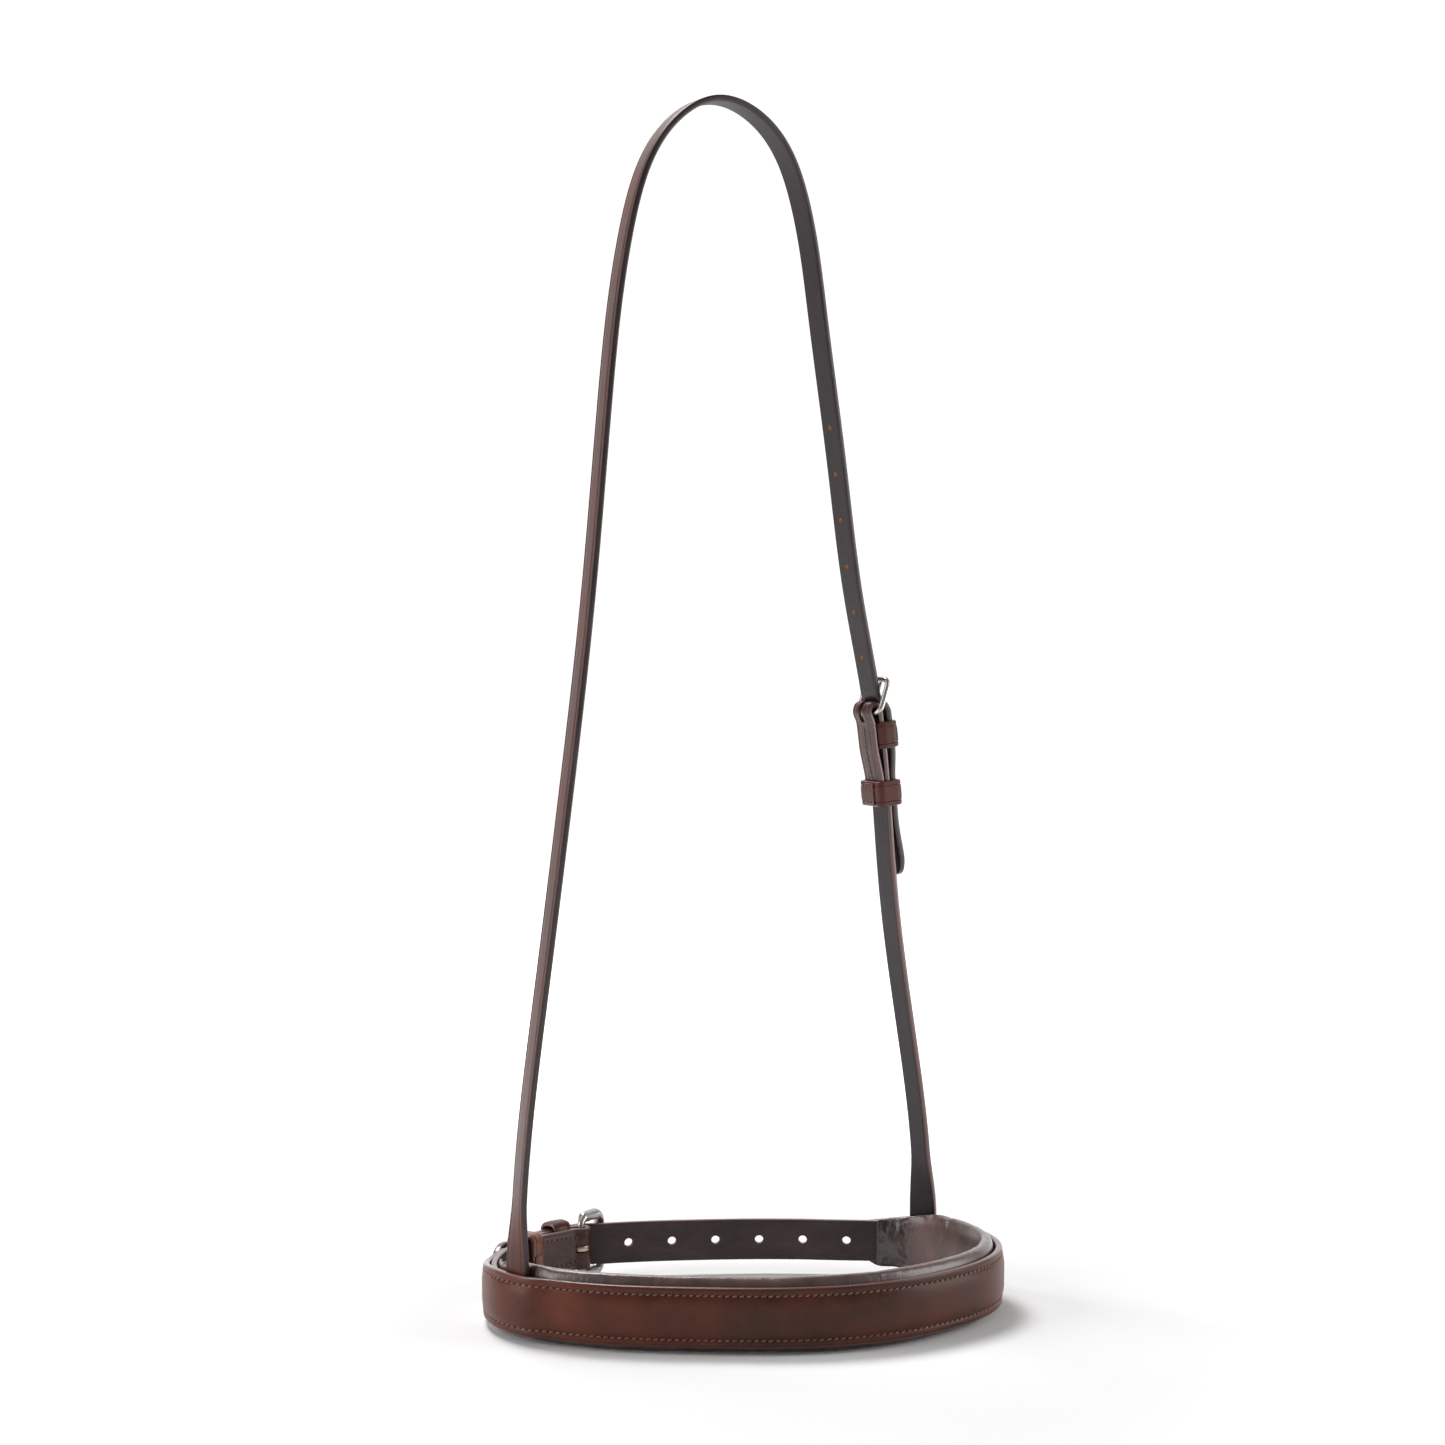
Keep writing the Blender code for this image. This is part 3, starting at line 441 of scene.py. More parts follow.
def bump(material, height, strength, depth):
    """Add a height to whatever already feeds the shader's normal."""
    inputs = {"Height": height, "Strength": strength, "Distance": depth}
    for link in shader_of(material).inputs["Normal"].links:
        inputs["Normal"] = link.from_socket
    feed(material, "Normal", add_node(material, "Bump", inputs).outputs[0])


def flat_place(material):
    return add_node(material, "Attribute", attribute_name="flat").outputs["Vector"]


def from_middle(material):
    """Distance along the leather from the middle of its piece."""
    along = add_node(material, "SeparateXYZ", {0: flat_place(material)}).outputs[0]
    return math_node(material, "ABSOLUTE", along)


def object_place(material):
    return add_node(material, "TexCoord").outputs["Object"]

# %% [markdown]
# ## Bridle leather
# Bridle leather is cowhide, tanned, dyed brown through and stuffed with wax, then glazed. That
# gives a deep brown under a thin clear gloss, with fine pores and slow changes of tone. The
# colour comes from two sizes of noise, the pores from a cell pattern in the bump, and the wax
# from the shader's coat. Two more helpers work on a finished leather: one adds wrinkles where
# the padding's ends are gathered, the other changes its tone along the piece.

# %% Leather recipe
GRAIN_SHARE = 1.6
FLECK_SHARES = (0.2, 0.8)
RUBBED = 0.07


def leather(name, dark, light, tone, roughness, coat, pore, depth, drawn=(1.0, 1.0, 1.0),
            coat_roughness=0.3, specular=0.35):
    """Leather in its flat places: tone patches, pores drawn out by the given shares, waxed gloss."""
    material = new_material(name, {
        "Roughness": roughness, "Coat Weight": coat, "Coat Roughness": coat_roughness,
        "Specular IOR Level": specular})
    pulled = add_node(material, "Mapping", {"Vector": flat_place(material),
                                            "Scale": [1.0 / d for d in drawn]}).outputs[0]
    patches = speckle(material, pulled, tone, 5.0, 0.55)
    grain = speckle(material, pulled, pore * GRAIN_SHARE, 3.0)
    pores = add_node(material, "TexVoronoi", {"Vector": pulled, "Scale": per(pore)}).outputs["Distance"]
    slow = math_node(material, "MULTIPLY", patches, FLECK_SHARES[1])
    fleck = math_node(material, "MULTIPLY_ADD", grain, FLECK_SHARES[0], slow)
    feed(material, "Base Color", ramp(material, fleck, [(0.34, dark), (0.66, light)]))
    feed(material, "Roughness",
         spread(material, patches, (0.3, 0.7, roughness - RUBBED, roughness + RUBBED)))
    bump(material, grain, 0.5, depth)
    bump(material, pores, 0.5, depth)
    return material


def wrinkled(material, pitch, length, depth, start, full):
    """Cross wrinkles that grow from start to full, distances from the middle of the piece."""
    pulled = add_node(material, "Mapping", {"Vector": flat_place(material),
                                            "Scale": (per(pitch), per(length), per(length))}).outputs[0]
    folds = speckle(material, pulled, 1.0, 2.0, distortion=0.6)
    share = spread(material, from_middle(material), (start, full, 0.0, 1.0))
    bump(material, math_node(material, "MULTIPLY", folds, share), 1.0, depth)


def toned(material, stops):
    """Multiply the colour by a ramp over the distance from the middle of the piece."""
    longest = stops[-1][0] * MM
    share = math_node(material, "DIVIDE", from_middle(material), longest)
    tint = ramp(material, share, [(place * MM / longest, code) for place, code in stops])
    own = shader_of(material).inputs["Base Color"].links[0].from_socket
    both = add_node(material, "VectorMath", {0: own, 1: tint}, operation="MULTIPLY")
    feed(material, "Base Color", both.outputs[0])

# %% [markdown]
# ## The leathers of this noseband
# One hide looks different wherever it was worked or handled. The darker middle of the nosepiece
# and the dark edge of the head strap are painted shade. The recipe's sizes are the tone patches,
# then the pores and their depth.

# %% Leather materials
FINE_PORE, FINE_DEPTH = 0.55 * MM, 0.025 * MM
FIBRE_PORE, FIBRE_DEPTH = 0.8 * MM, 0.06 * MM
FIBRES, CUT_FIBRES = (3.0, 1.0, 1.0), (4.0, 1.0, 1.0)

# waxed bridle leather, the smooth side of every strap: dark brown with a soft, thin gloss
OUTER = leather("waxed_bridle_leather", "#3d1f19", "#5c2d22", 26 * MM, 0.4, 0.18, FINE_PORE, FINE_DEPTH,
                specular=0.22)
# the same leather stretched over the raised front, redder; its middle is darkened with painted shade, so
# both sides read lighter
NOSE_LEATHER_PAINTED_SHADE = leather("waxed_nosepiece_leather_painted_shade", "#4a2419", "#703622", 26 * MM, 0.4, 0.14, FINE_PORE, FINE_DEPTH,
               specular=0.2)
# painted shade: the colour is multiplied by a cool grey-blue over the middle 45 mm each way, fading out
# by 115 mm
toned(NOSE_LEATHER_PAINTED_SHADE, [(0, "#cce2ec"), (45, "#cce2ec"), (115, "#ffffff"), (216, "#ffffff")])
# burnished edges: cut fibres dyed purple-brown and rubbed to a bright line along each strap
EDGE = leather("burnished_edge", "#4a2725", "#704341", 7 * MM, 0.34, 0.7, 0.5 * MM, 0.04 * MM,
               CUT_FIBRES, 0.18, 0.5)
# the head strap's edges are painted darker, as painted shade, so they read as a dark outline
EDGE_PAINTED_SHADE = leather("burnished_edge_painted_shade", "#271a19", "#41302d", 7 * MM, 0.36, 0.4, 0.5 * MM, 0.05 * MM,
                    CUT_FIBRES)
# the layer sewn back at a buckle is handled most: grey-brown and nearly dull
HANDLED = leather("handled_chape_leather", "#3d2a27", "#5e443f", 9 * MM, 0.46, 0.2, FINE_PORE, 0.04 * MM,
                  specular=0.25)
# the chin runner is rubbed pale by fingers
WORN = leather("worn_band_leather", "#5a3022", "#8a523c", 9 * MM, 0.4, 0.4, FINE_PORE, 0.04 * MM)
# flesh side: the inside of the hide, dull, with short fibres along the strap
FLESH = leather("flesh_side", "#352b2a", "#4c3f3d", 12 * MM, 0.52, 0.1, FIBRE_PORE, FIBRE_DEPTH, FIBRES,
                0.4, 0.25)
# the flesh side of the head strap and of both chapes: darker, almost black
DARK_FLESH = leather("dark_flesh_side", "#1d1517", "#30262a", 12 * MM, 0.52, 0.1, FIBRE_PORE, FIBRE_DEPTH,
                     FIBRES, 0.4, 0.25)
# lining: thin soft leather with a silvery sheen, wrinkled where it is gathered; towards both ends of the
# padding its colour turns redder, then darker
LINING = leather("lining_leather", "#3e2c28", "#664a42", 12 * MM, 0.38, 0.9, FIBRE_PORE, FIBRE_DEPTH,
                 (0.8, 1.4, 1.0), 0.28, 0.6)
wrinkled(LINING, 1.5 * MM, 4.5 * MM, 0.32 * MM, 165 * MM, 152 * MM)
wrinkled(LINING, 1.6 * MM, 3.4 * MM, 1.0 * MM, 163 * MM, 172 * MM)
toned(LINING, [(0, "#ffffff"), (136, "#ffffff"), (158, "#ffd8cc"), (166, "#f0c4b6"), (172, "#c4b6b0"),
               (180, "#8c827e"), (186, "#7c726e")])

# %% [markdown]
# ## Buckle metal, thread, raw leather and needle holes
# The buckles are stainless steel, cast and tumbled to a soft shine with faint scuffs. The thread
# is waxed linen in the leather's own brown. A punched hole shows undyed tan leather. A needle
# hole is only a dark dot at this scale, so a small nearly black dimple stands for it, painted shade
# in place of the hole.

# %% Metal, thread, raw leather and hole materials
def tumbled_steel(name, colour):
    """Steel with a soft, slightly uneven shine and scuffs too fine to see one by one."""
    material = new_material(name, {"Base Color": linear(colour), "Metallic": 1.0})
    scuffs = speckle(material, object_place(material), 3.0 * MM, 6.0, 0.7)
    feed(material, "Roughness", spread(material, scuffs, (0.3, 0.75, 0.26, 0.38)))
    bump(material, scuffs, 0.08, 0.02 * MM)
    return material


def noisy(name, dark, light, size, settings):
    """Material whose colour wanders between two tones with an object-space noise."""
    material = new_material(name, settings)
    spots = speckle(material, object_place(material), size, 3.0)
    feed(material, "Base Color", ramp(material, spots, [(0.3, dark), (0.7, light)]))
    return material


# bare steel, a cool bright accent; the chin tongue is tinted brown, a painted reflection of the brown
# straps round it
STEEL = tumbled_steel("tumbled_steel", "#b6b2ae")
STEEL_PAINTED_REFLECTION = tumbled_steel("tumbled_steel_painted_reflection", "#b5a496")
# thread a little lighter than the leather, so that the rows can be counted
THREAD = noisy("waxed_linen_thread", "#5c3a2e", "#95705f", 0.8 * MM,
               {"Roughness": 0.45, "Coat Weight": 0.2})
# undyed leather, a tan ring inside each punched hole
RAW = noisy("raw_punched_leather", "#8a5a3c", "#b98560", 0.9 * MM, {"Roughness": 0.75})
# a needle hole: a nearly black mark, painted shade in place of the hole
HOLE_PAINTED_SHADE = noisy("needle_hole_painted_shade", "#120a08", "#241512", 0.5 * MM, {"Roughness": 0.9})

# smooth side, edges, flesh side, walls of cuts, sewn-back layer
STRAP_FINISH = [OUTER, EDGE, FLESH, RAW]
CHAPE_FINISH = [OUTER, EDGE, DARK_FLESH, EDGE, HANDLED]
HEAD_FINISH = [OUTER, EDGE_PAINTED_SHADE, DARK_FLESH, RAW]
NOSE_FINISH = [NOSE_LEATHER_PAINTED_SHADE, EDGE, FLESH]
BAND_FINISH = [OUTER, EDGE, FLESH]
WORN_FINISH = [WORN, EDGE, FLESH]

# %% [markdown]
# ## A flat strap blank
# A strap starts as a long thin block. Its four long edges are bevelled round, two shallow crease
# lines are pressed into its smooth face, and it is cut across into many short lengths, so that
# it can bend. Faces that look up get the waxed finish, faces that look down the flesh side, and
# the rest the dyed edge.

# %% Strap blanks
CREASE_IN = 1.7 * MM
CREASE_HALF = 0.35 * MM
CREASE_DEPTH = 0.16 * MM


def lengthways(bm, length):
    """Edges of a block that run along it from end to end."""
    return [e for e in bm.edges if abs(e.verts[0].co.x - e.verts[1].co.x) > length / 2]


def crosscut(bm, spots):
    """Cut a block across at these places along X."""
    edges = lengthways(bm, spots[-1] - spots[0])
    bmesh.ops.subdivide_edges(bm, edges=edges, cuts=len(spots) - 2)
    first, last = spots[0], spots[-1]
    steps = len(spots) - 1
    for vert in bm.verts:
        vert.co.x = spots[round((vert.co.x - first) / (last - first) * steps)]


def slit(bm, places):
    """Cut a block lengthways at these places along Y."""
    for y in places:
        bmesh.ops.bisect_plane(bm, geom=bm.verts[:] + bm.edges[:] + bm.faces[:],
                               plane_co=(0, y, 0), plane_no=(0, 1, 0))


def block(start, end, width, thick, edge):
    """Flat block from start to end along X with rounded long edges."""
    bm = bmesh.new()
    bmesh.ops.create_cube(bm, size=1.0)
    bmesh.ops.scale(bm, vec=(end - start, width, thick), verts=bm.verts)
    bmesh.ops.translate(bm, vec=((start + end) / 2, 0, 0), verts=bm.verts)
    bmesh.ops.bevel(bm, geom=lengthways(bm, end - start), offset=edge, offset_type="OFFSET",
                    segments=3, affect="EDGES", profile=0.5, material=-1)
    return bm


def crease(bm, lines, thick, depth=CREASE_DEPTH):
    """Press a shallow groove into the upper face along each line."""
    cuts = [y + d * CREASE_HALF for y in lines for d in (-1, 0, 1)]
    slit(bm, cuts)
    for vert in bm.verts:
        if vert.co.z > thick / 2 - depth / 2 and any(abs(vert.co.y - y) < CREASE_HALF / 2 for y in lines):
            vert.co.z -= depth


def paint_sides(bm):
    """Material 0 on the smooth face, 1 on the edges and 2 on the flesh side."""
    bm.normal_update()
    for face in bm.faces:
        face.material_index = 0 if face.normal.z > 0.8 else 2 if face.normal.z < -0.8 else 1


def strap_blank(spots, width, thick):
    bm = block(spots[0], spots[-1], width, thick, min(STRAP_EDGE, thick * 0.4))
    crease(bm, (CREASE_IN - width / 2, width / 2 - CREASE_IN), thick)
    slit(bm, (-width / 5, width / 5))
    crosscut(bm, spots)
    paint_sides(bm)
    return bm

# %% [markdown]
# ## Punching holes
# Saddlers knock round punches through the strap. A Boolean with round cutters does the same, and
# it is applied while the strap still lies flat, where the holes are straight.

# %% Punch and slot
CUT_SHARE = 3
PUNCH_SIDES = 28
LEAST_SLOT = 0.1 * MM


def apply_cut(obj, cutter_bm):
    """Take a cutter's shape out of the flat piece."""
    for face in cutter_bm.faces:
        face.material_index = 3
    mesh = bpy.data.meshes.new("cutter")
    cutter_bm.to_mesh(mesh)
    cutter_bm.free()
    cutter = new_object("cutter", mesh)
    boolean = obj.modifiers.new("punch", "BOOLEAN")
    boolean.operation = "DIFFERENCE"
    boolean.solver = "EXACT"
    boolean.object = cutter
    cut = bpy.data.meshes.new_from_object(obj.evaluated_get(bpy.context.evaluated_depsgraph_get()))
    obj.modifiers.clear()
    old = obj.data
    obj.data = cut
    cut.name = old.name
    bpy.data.meshes.remove(old)
    bpy.data.objects.remove(cutter)
    obj.data.shade_smooth()
    obj.data.set_sharp_from_angle(angle=SHARP)


def punch(obj, places, diameter, thick):
    bm = bmesh.new()
    for x in places:
        bmesh.ops.create_cone(bm, cap_ends=True, segments=PUNCH_SIDES, radius1=diameter / 2,
                              radius2=diameter / 2, depth=thick * CUT_SHARE,
                              matrix=Matrix.Translation((x, 0, 0)))
    apply_cut(obj, bm)


def slot(obj, start, end, width, thick, lean=0.0):
    """Long hole with square ends; its start may lean, by this much along for each unit of height."""
    bm = bmesh.new()
    size = Matrix.Diagonal((end - start, width, thick * CUT_SHARE, 1))
    place = Matrix.Translation(((start + end) / 2, 0, 0))
    bmesh.ops.create_cube(bm, size=1.0, matrix=place @ size)
    for vert in bm.verts:
        if vert.co.x < (start + end) / 2:
            vert.co.x = min(vert.co.x - lean * vert.co.z, end - LEAST_SLOT)
    apply_cut(obj, bm)

# %% [markdown]
# ## Stitches
# A saddler's stitch slants a little, because the awl is turned, and its two ends sink into the
# holes. Each stitch is a small stretched ball, and a flatter, nearly black one is painted shade
# for each hole. They are laid out on the flat leather and bent with it.

# %% Stitch rows
STITCH_PITCH = 3.0 * MM
STITCH_HALF = (1.14 * MM, 0.40 * MM, 0.34 * MM)
HOLE_SHADE_HALF = (0.44 * MM, 0.40 * MM, 0.14 * MM)
STITCH_SLANT = math.radians(14.0)


def ball(half):
    """Vertices and faces of a small ball stretched to these half sizes."""
    bm = bmesh.new()
    bmesh.ops.create_uvsphere(bm, u_segments=8, v_segments=6, radius=1.0)
    bmesh.ops.scale(bm, vec=half, verts=bm.verts)
    places = np.array([v.co[:] for v in bm.verts])
    faces = [[v.index for v in f.verts] for f in bm.faces]
    bm.free()
    return places, faces


def sew(name, rows, place, body, scale=1.0):
    """Sew rows of (x, y, z) stitch places on the flat leather."""
    thread, hole_shade = ball(STITCH_HALF), ball(HOLE_SHADE_HALF)
    shapes = []
    for row in rows:
        shapes += [(thread, spot, STITCH_SLANT, 0) for spot in row]
        # between stitches, a flat nearly black ball is painted shade for each needle hole
        shapes += [(hole_shade, np.mean([a, b], axis=0), 0.0, 1) for a, b in zip(row, row[1:])]
    points, faces, marks = [], [], []
    for (base, base_faces), spot, slant, mark in shapes:
        start = len(points) * len(base)
        turn = np.array(Matrix.Rotation(slant, 3, "Z"))
        points.append(base * scale @ turn.T + np.array(spot))
        faces += [[start + i for i in face] for face in base_faces]
        marks += [mark] * len(base_faces)
    mesh = bpy.data.meshes.new(name)
    mesh.from_pydata(np.concatenate(points).tolist(), [], faces)
    bm = bmesh.new()
    bm.from_mesh(mesh)
    bpy.data.meshes.remove(mesh)
    for face, mark in zip(bm.faces, marks):
        face.material_index = mark
    obj = add_piece(name, bm, [THREAD, HOLE_PAINTED_SHADE])
    bend_piece(obj, place)
    finish_piece(obj, body)


def straight_row(start, end, y, z, pitch=STITCH_PITCH):
    count = max(2, round((end - start) / pitch) + 1)
    return [(x, y, z) for x in np.linspace(start, end, count)]

# %% [markdown]
# ## The nosepiece
# The nosepiece is one inch high, raised a little along its middle, and narrows to thin tabs
# under the chin strap's ends. Its blank is a plain block with two stitch grooves. A moulding
# step then gives every cross-section its own height, thickness and crown.

# %% Outline of the nosepiece
ROUND_SHARE = 0.25
SHOULDER_SHARES = (0.46, 0.76)
NOSE_END_CROWN_SHARE = 0.25


def nose_edges(s):
    """Heights of the leather's upper and lower edge above and below its middle line."""
    distance = NOSE_HALF_LENGTH - np.abs(s)
    end = np.where(s < 0, NOSE_HALF_LENGTH, NOSE_RIGHT_LENGTH)
    corner = 1.0 - np.clip((end - np.abs(s)) / NOSE_TIP_RADIUS, 0.0, 1.0)
    tip = NOSE_TIP_RADIUS * (1.0 - np.sqrt(np.maximum(0.0, 1.0 - corner * corner)))
    upper = mix(NOSE_TAB_HALF, NOSE_HEIGHT / 2, smooth_step(distance, *NOSE_UPPER_FALL))
    lower = mix(NOSE_TAB_HALF, NOSE_HEIGHT / 2, smooth_step(distance, *NOSE_LOWER_FALL))
    return upper - tip, lower - tip


def nose_opening(s):
    """Half the room between leather and padding, wider where strap ends lie between them."""
    reach = np.where(s < 0, HEAD_REACH, CHEEK_REACH)
    start = reach - HEAD_WIDTH / 2 - OPENING_MARGIN
    end = reach + HEAD_WIDTH / 2
    entry = ENTRY_ROOM * (1.0 - smooth_step(np.abs(s), end, end + OPENING_RUN))
    room = CHIN_THICK / 2 + CLEAR + entry
    return mix(NOSE_SKIN / 2, room, smooth_step(np.abs(s), start - OPENING_RUN, start))


def nose_thick(s):
    return mix(NOSE_TAB_THICK, NOSE_THICK, smooth_step(NOSE_HALF_LENGTH - np.abs(s), *NOSE_THIN_FALL))


def nose_crown(s, y):
    """Rise of the smooth face at a share y of the half height: a soft shoulder, then nearly flat."""
    ease = smooth_step(NOSE_HALF_LENGTH - np.abs(s), *NOSE_UPPER_FALL)
    body = ROUND_SHARE * (1.0 - y * y) + (1.0 - ROUND_SHARE) * (1.0 - smooth_step(y, *SHOULDER_SHARES))
    return NOSE_CROWN * mix(NOSE_END_CROWN_SHARE, 1.0, ease) * body

# %% Mould and bend the nosepiece
NOSE_EDGE = 1.0 * MM
NOSE_CUTS = np.linspace(-7.5 * MM, 7.5 * MM, 7)
NOSE_STEPS = 240
TIP_ANGLES = (88, 75, 60, 45, 30, 15)
ROW_IN = 3.3 * MM
ROW_END = 6.0 * MM
ROW_RISE = 0.16 * MM
GROOVE_HALF = 0.7 * MM
GROOVE_DEPTH = 0.3 * MM


def mould_nosepiece(s, h, w):
    """Places of the flat blank on the loop: its own edges, thickness and crown at every s."""
    upper, lower = nose_edges(s)
    y = w / (NOSE_HEIGHT / 2)
    across = np.where(y > 0, y * upper, y * lower)
    thick = nose_thick(s)
    height = h / NOSE_THICK * thick + np.where(h > 0, nose_crown(s, np.abs(y)), 0.0)
    return LOOP.place(s, nose_opening(s) + thick / 2 + height, across)


def nose_spots():
    tips = [NOSE_TIP_RADIUS * (1.0 - math.sin(math.radians(a))) for a in TIP_ANGLES]
    left = [t - NOSE_HALF_LENGTH for t in tips]
    right = [NOSE_RIGHT_LENGTH - t for t in reversed(tips)]
    inner = np.linspace(NOSE_TIP_RADIUS - NOSE_HALF_LENGTH, NOSE_RIGHT_LENGTH - NOSE_TIP_RADIUS,
                        NOSE_STEPS)
    return left + list(inner) + right


def make_nosepiece():
    bm = block(-NOSE_HALF_LENGTH, NOSE_RIGHT_LENGTH, NOSE_HEIGHT, NOSE_THICK, NOSE_EDGE)
    rows = (ROW_IN - NOSE_HEIGHT / 2, NOSE_HEIGHT / 2 - ROW_IN)
    slit(bm, [y + d * GROOVE_HALF for y in rows for d in (-1.0, -0.5, 0.0, 0.5, 1.0)])
    slit(bm, NOSE_CUTS)
    for vert in bm.verts:
        if vert.co.z > 0:
            off = min(abs(vert.co.y - y) for y in rows)
            vert.co.z -= GROOVE_DEPTH * (1.0 - float(smooth_step(off, 0.0, GROOVE_HALF)))
    crosscut(bm, nose_spots())
    paint_sides(bm)
    obj = add_piece("nosepiece", bm, NOSE_FINISH)
    bend_piece(obj, mould_nosepiece)
    finish_piece(obj, "straps", "nosepiece_leather")


make_nosepiece()
row_y = NOSE_HEIGHT / 2 - ROW_IN
row_z = NOSE_THICK / 2 - GROOVE_DEPTH + ROW_RISE
row_ends = ROW_END - NOSE_HALF_LENGTH, NOSE_RIGHT_LENGTH - ROW_END
sew("nosepiece_stitches", [straight_row(*row_ends, y, row_z) for y in (row_y, -row_y)],
    mould_nosepiece, "straps")

# %% [markdown]
# ## The padding
# Behind the nosepiece lies a roll: soft leather drawn round a strip of filler and sewn in along
# both edges. The leather is cut a little long, so it gathers into fine creases, most of all
# where the nosepiece bends. A cloth simulation makes those creases: a flat tube, held along the
# side that is sewn down, is blown up from inside while its sheet grows a few per cent. The last
# stretch at each end is drawn together by the thread, so it gets pleats of its own.

# %% Shape of the padding
PAD_RINGS = 300
PAD_AROUND = 48
PAD_CORNER_SHARES = (0.55, 0.8)


def pad_sizes(s):
    share = smooth_step(PAD_HALF_LENGTH - np.abs(s), 0.0, PAD_TAPER)
    depth = mix(PAD_END_DEPTH, PAD_DEPTH - (nose_opening(s) - NOSE_SKIN / 2), share)
    return depth, mix(PAD_END_HEIGHT, PAD_HEIGHT, share)


def pad_section(depth, height, turn):
    """Point of the roll's cross-section for a turn from 0 to 1: flat sewn side, then the soft side."""
    angle = 2.0 * math.pi * turn
    across, up = (np.sign(v) * abs(v) ** share
                  for v, share in zip((math.cos(angle), math.sin(angle)), PAD_CORNER_SHARES))
    return height / 2 * across, -depth / 2 - depth / 2 * up


def make_pad_tube():
    bm = bmesh.new()
    ring = bmesh.ops.create_circle(bm, segments=PAD_AROUND, radius=1.0)["verts"]
    turns = [math.atan2(v.co.y, v.co.x) / (2 * math.pi) for v in ring]
    rings = []
    for s in np.linspace(-PAD_HALF_LENGTH, PAD_HALF_LENGTH, PAD_RINGS):
        if rings:
            edges = list({e for v in ring for e in v.link_edges if e.other_vert(v) in ring})
            made = bmesh.ops.extrude_edge_only(bm, edges=edges)["geom"]
            pairs = {}
            for v in only(VERT, made):
                source = next(e.other_vert(v) for e in v.link_edges if e.other_vert(v) in ring)
                pairs[source] = v
            ring = [pairs[v] for v in ring]
        depth, height = (float(v) for v in pad_sizes(s))
        for vert, turn in zip(ring, turns):
            y, z = pad_section(depth, height, turn)
            vert.co = (s, y, z)
        rings.append(list(ring))
    for cap in (rings[0], rings[-1]):
        bmesh.ops.contextual_create(bm, geom=cap)
    bmesh.ops.recalc_face_normals(bm, faces=bm.faces)
    return bm

# %% Cloth simulation of the lining
CREASE_EVEN = 0.3 * MM
CREASE_ENDS = 1.2 * MM
CREASE_SPAN = (128 * MM, 168 * MM)
HELD_END = 3 * MM
HELD_SHARES = (0.34, 0.46)
SIDEWAYS_SHARE = 0.35
CLOTH_FRAMES = 20
CLOTH = {
    "quality": 6, "mass": 0.2, "tension_stiffness": 25, "compression_stiffness": 25,
    "shear_stiffness": 10, "bending_stiffness": 0.02, "use_pressure": True,
    "uniform_pressure_force": 2.0, "shrink_min": -0.06, "vertex_group_mass": "held",
}


def crease_pad(obj):
    """Cloth simulation of the flat roll: grown sheet, pressure inside, sewn side held."""
    mesh = obj.data
    start = vertex_places(mesh)
    held = obj.vertex_groups.new(name="held")
    for i, (x, y, z) in enumerate(start):
        depth, height = (float(v) for v in pad_sizes(x))
        sewn = z > -depth * HELD_SHARES[0] and abs(y) < height * HELD_SHARES[1]
        if sewn or PAD_HALF_LENGTH - abs(x) < HELD_END:
            held.add([i], 1.0, "REPLACE")
    cloth = obj.modifiers.new("cloth", "CLOTH")
    for key, value in CLOTH.items():
        setattr(cloth.settings, key, value)
    cloth.settings.effector_weights.gravity = 0.0
    scene = bpy.context.scene
    cloth.point_cache.frame_start = 1
    cloth.point_cache.frame_end = CLOTH_FRAMES + 4
    for step in range(1, CLOTH_FRAMES + 1):
        scene.frame_set(step)
    soft = vertex_places(bpy.data.meshes.new_from_object(
        obj.evaluated_get(bpy.context.evaluated_depsgraph_get())))
    obj.modifiers.clear()
    move = (soft - start) * (1.0, SIDEWAYS_SHARE, 1.0)
    size = np.linalg.norm(move, axis=1, keepdims=True)
    gathered = smooth_step(np.abs(start[:, :1]), *CREASE_SPAN)
    move *= mix(CREASE_EVEN, CREASE_ENDS, gathered) / np.maximum(size, CREASE_ENDS)
    mesh.vertices.foreach_set("co", (start + move).ravel())
    scene.frame_set(1)
    print("creases move the lining by up to", round(float(size.max()) / MM, 2), "mm")

# %% Lay the padding behind the nosepiece
GATHER_DEPTH = 0.8 * MM
GATHER_SPAN = (165 * MM, 173 * MM)
GATHER_END = 4.0 * MM
GATHER_EDGE = 1.5 * MM
PLEAT_PITCH = 2.2 * MM
PLEAT_LENGTH = 3.0 * MM


def gathers(s, h, w):
    """Small pleats where the lining is drawn together at the padding's ends."""
    amount = smooth_step(np.abs(s), *GATHER_SPAN) * smooth_step(-h, 0.0, GATHER_EDGE)
    spots = zip(s / PLEAT_PITCH, w / PLEAT_LENGTH, h / PLEAT_LENGTH)
    folds = [noise.noise(spot) for spot in spots]
    last = 1.0 - smooth_step(np.abs(s), PAD_HALF_LENGTH - GATHER_END, PAD_HALF_LENGTH)
    return GATHER_DEPTH * amount * (np.abs(folds) * 2.0 - 0.5) * last


def lay_pad(s, h, w):
    return LOOP.place(s, h - nose_opening(s) - gathers(s, h, w), w)


def make_padding():
    obj = add_piece("padding", make_pad_tube(), [LINING])
    crease_pad(obj)
    bend_piece(obj, lay_pad)
    subdivide_once(obj)
    finish_piece(obj, "straps", "padding_lining", "padding_foam")


make_padding()

# %% [markdown]
# ## Buckle sizes
# Both buckles work alike, so one record holds the sizes of each: the bar in the strap's fold,
# the wire of the frame, and where the fixed keeper and the runner sit behind it.

# %% What both buckles have in common
FOLD_STEPS = 24
BACK_STEPS = 40
CROSSING_STEPS = 60
CLOSE_START = 2 * MM
CLOSE_END = 6 * MM


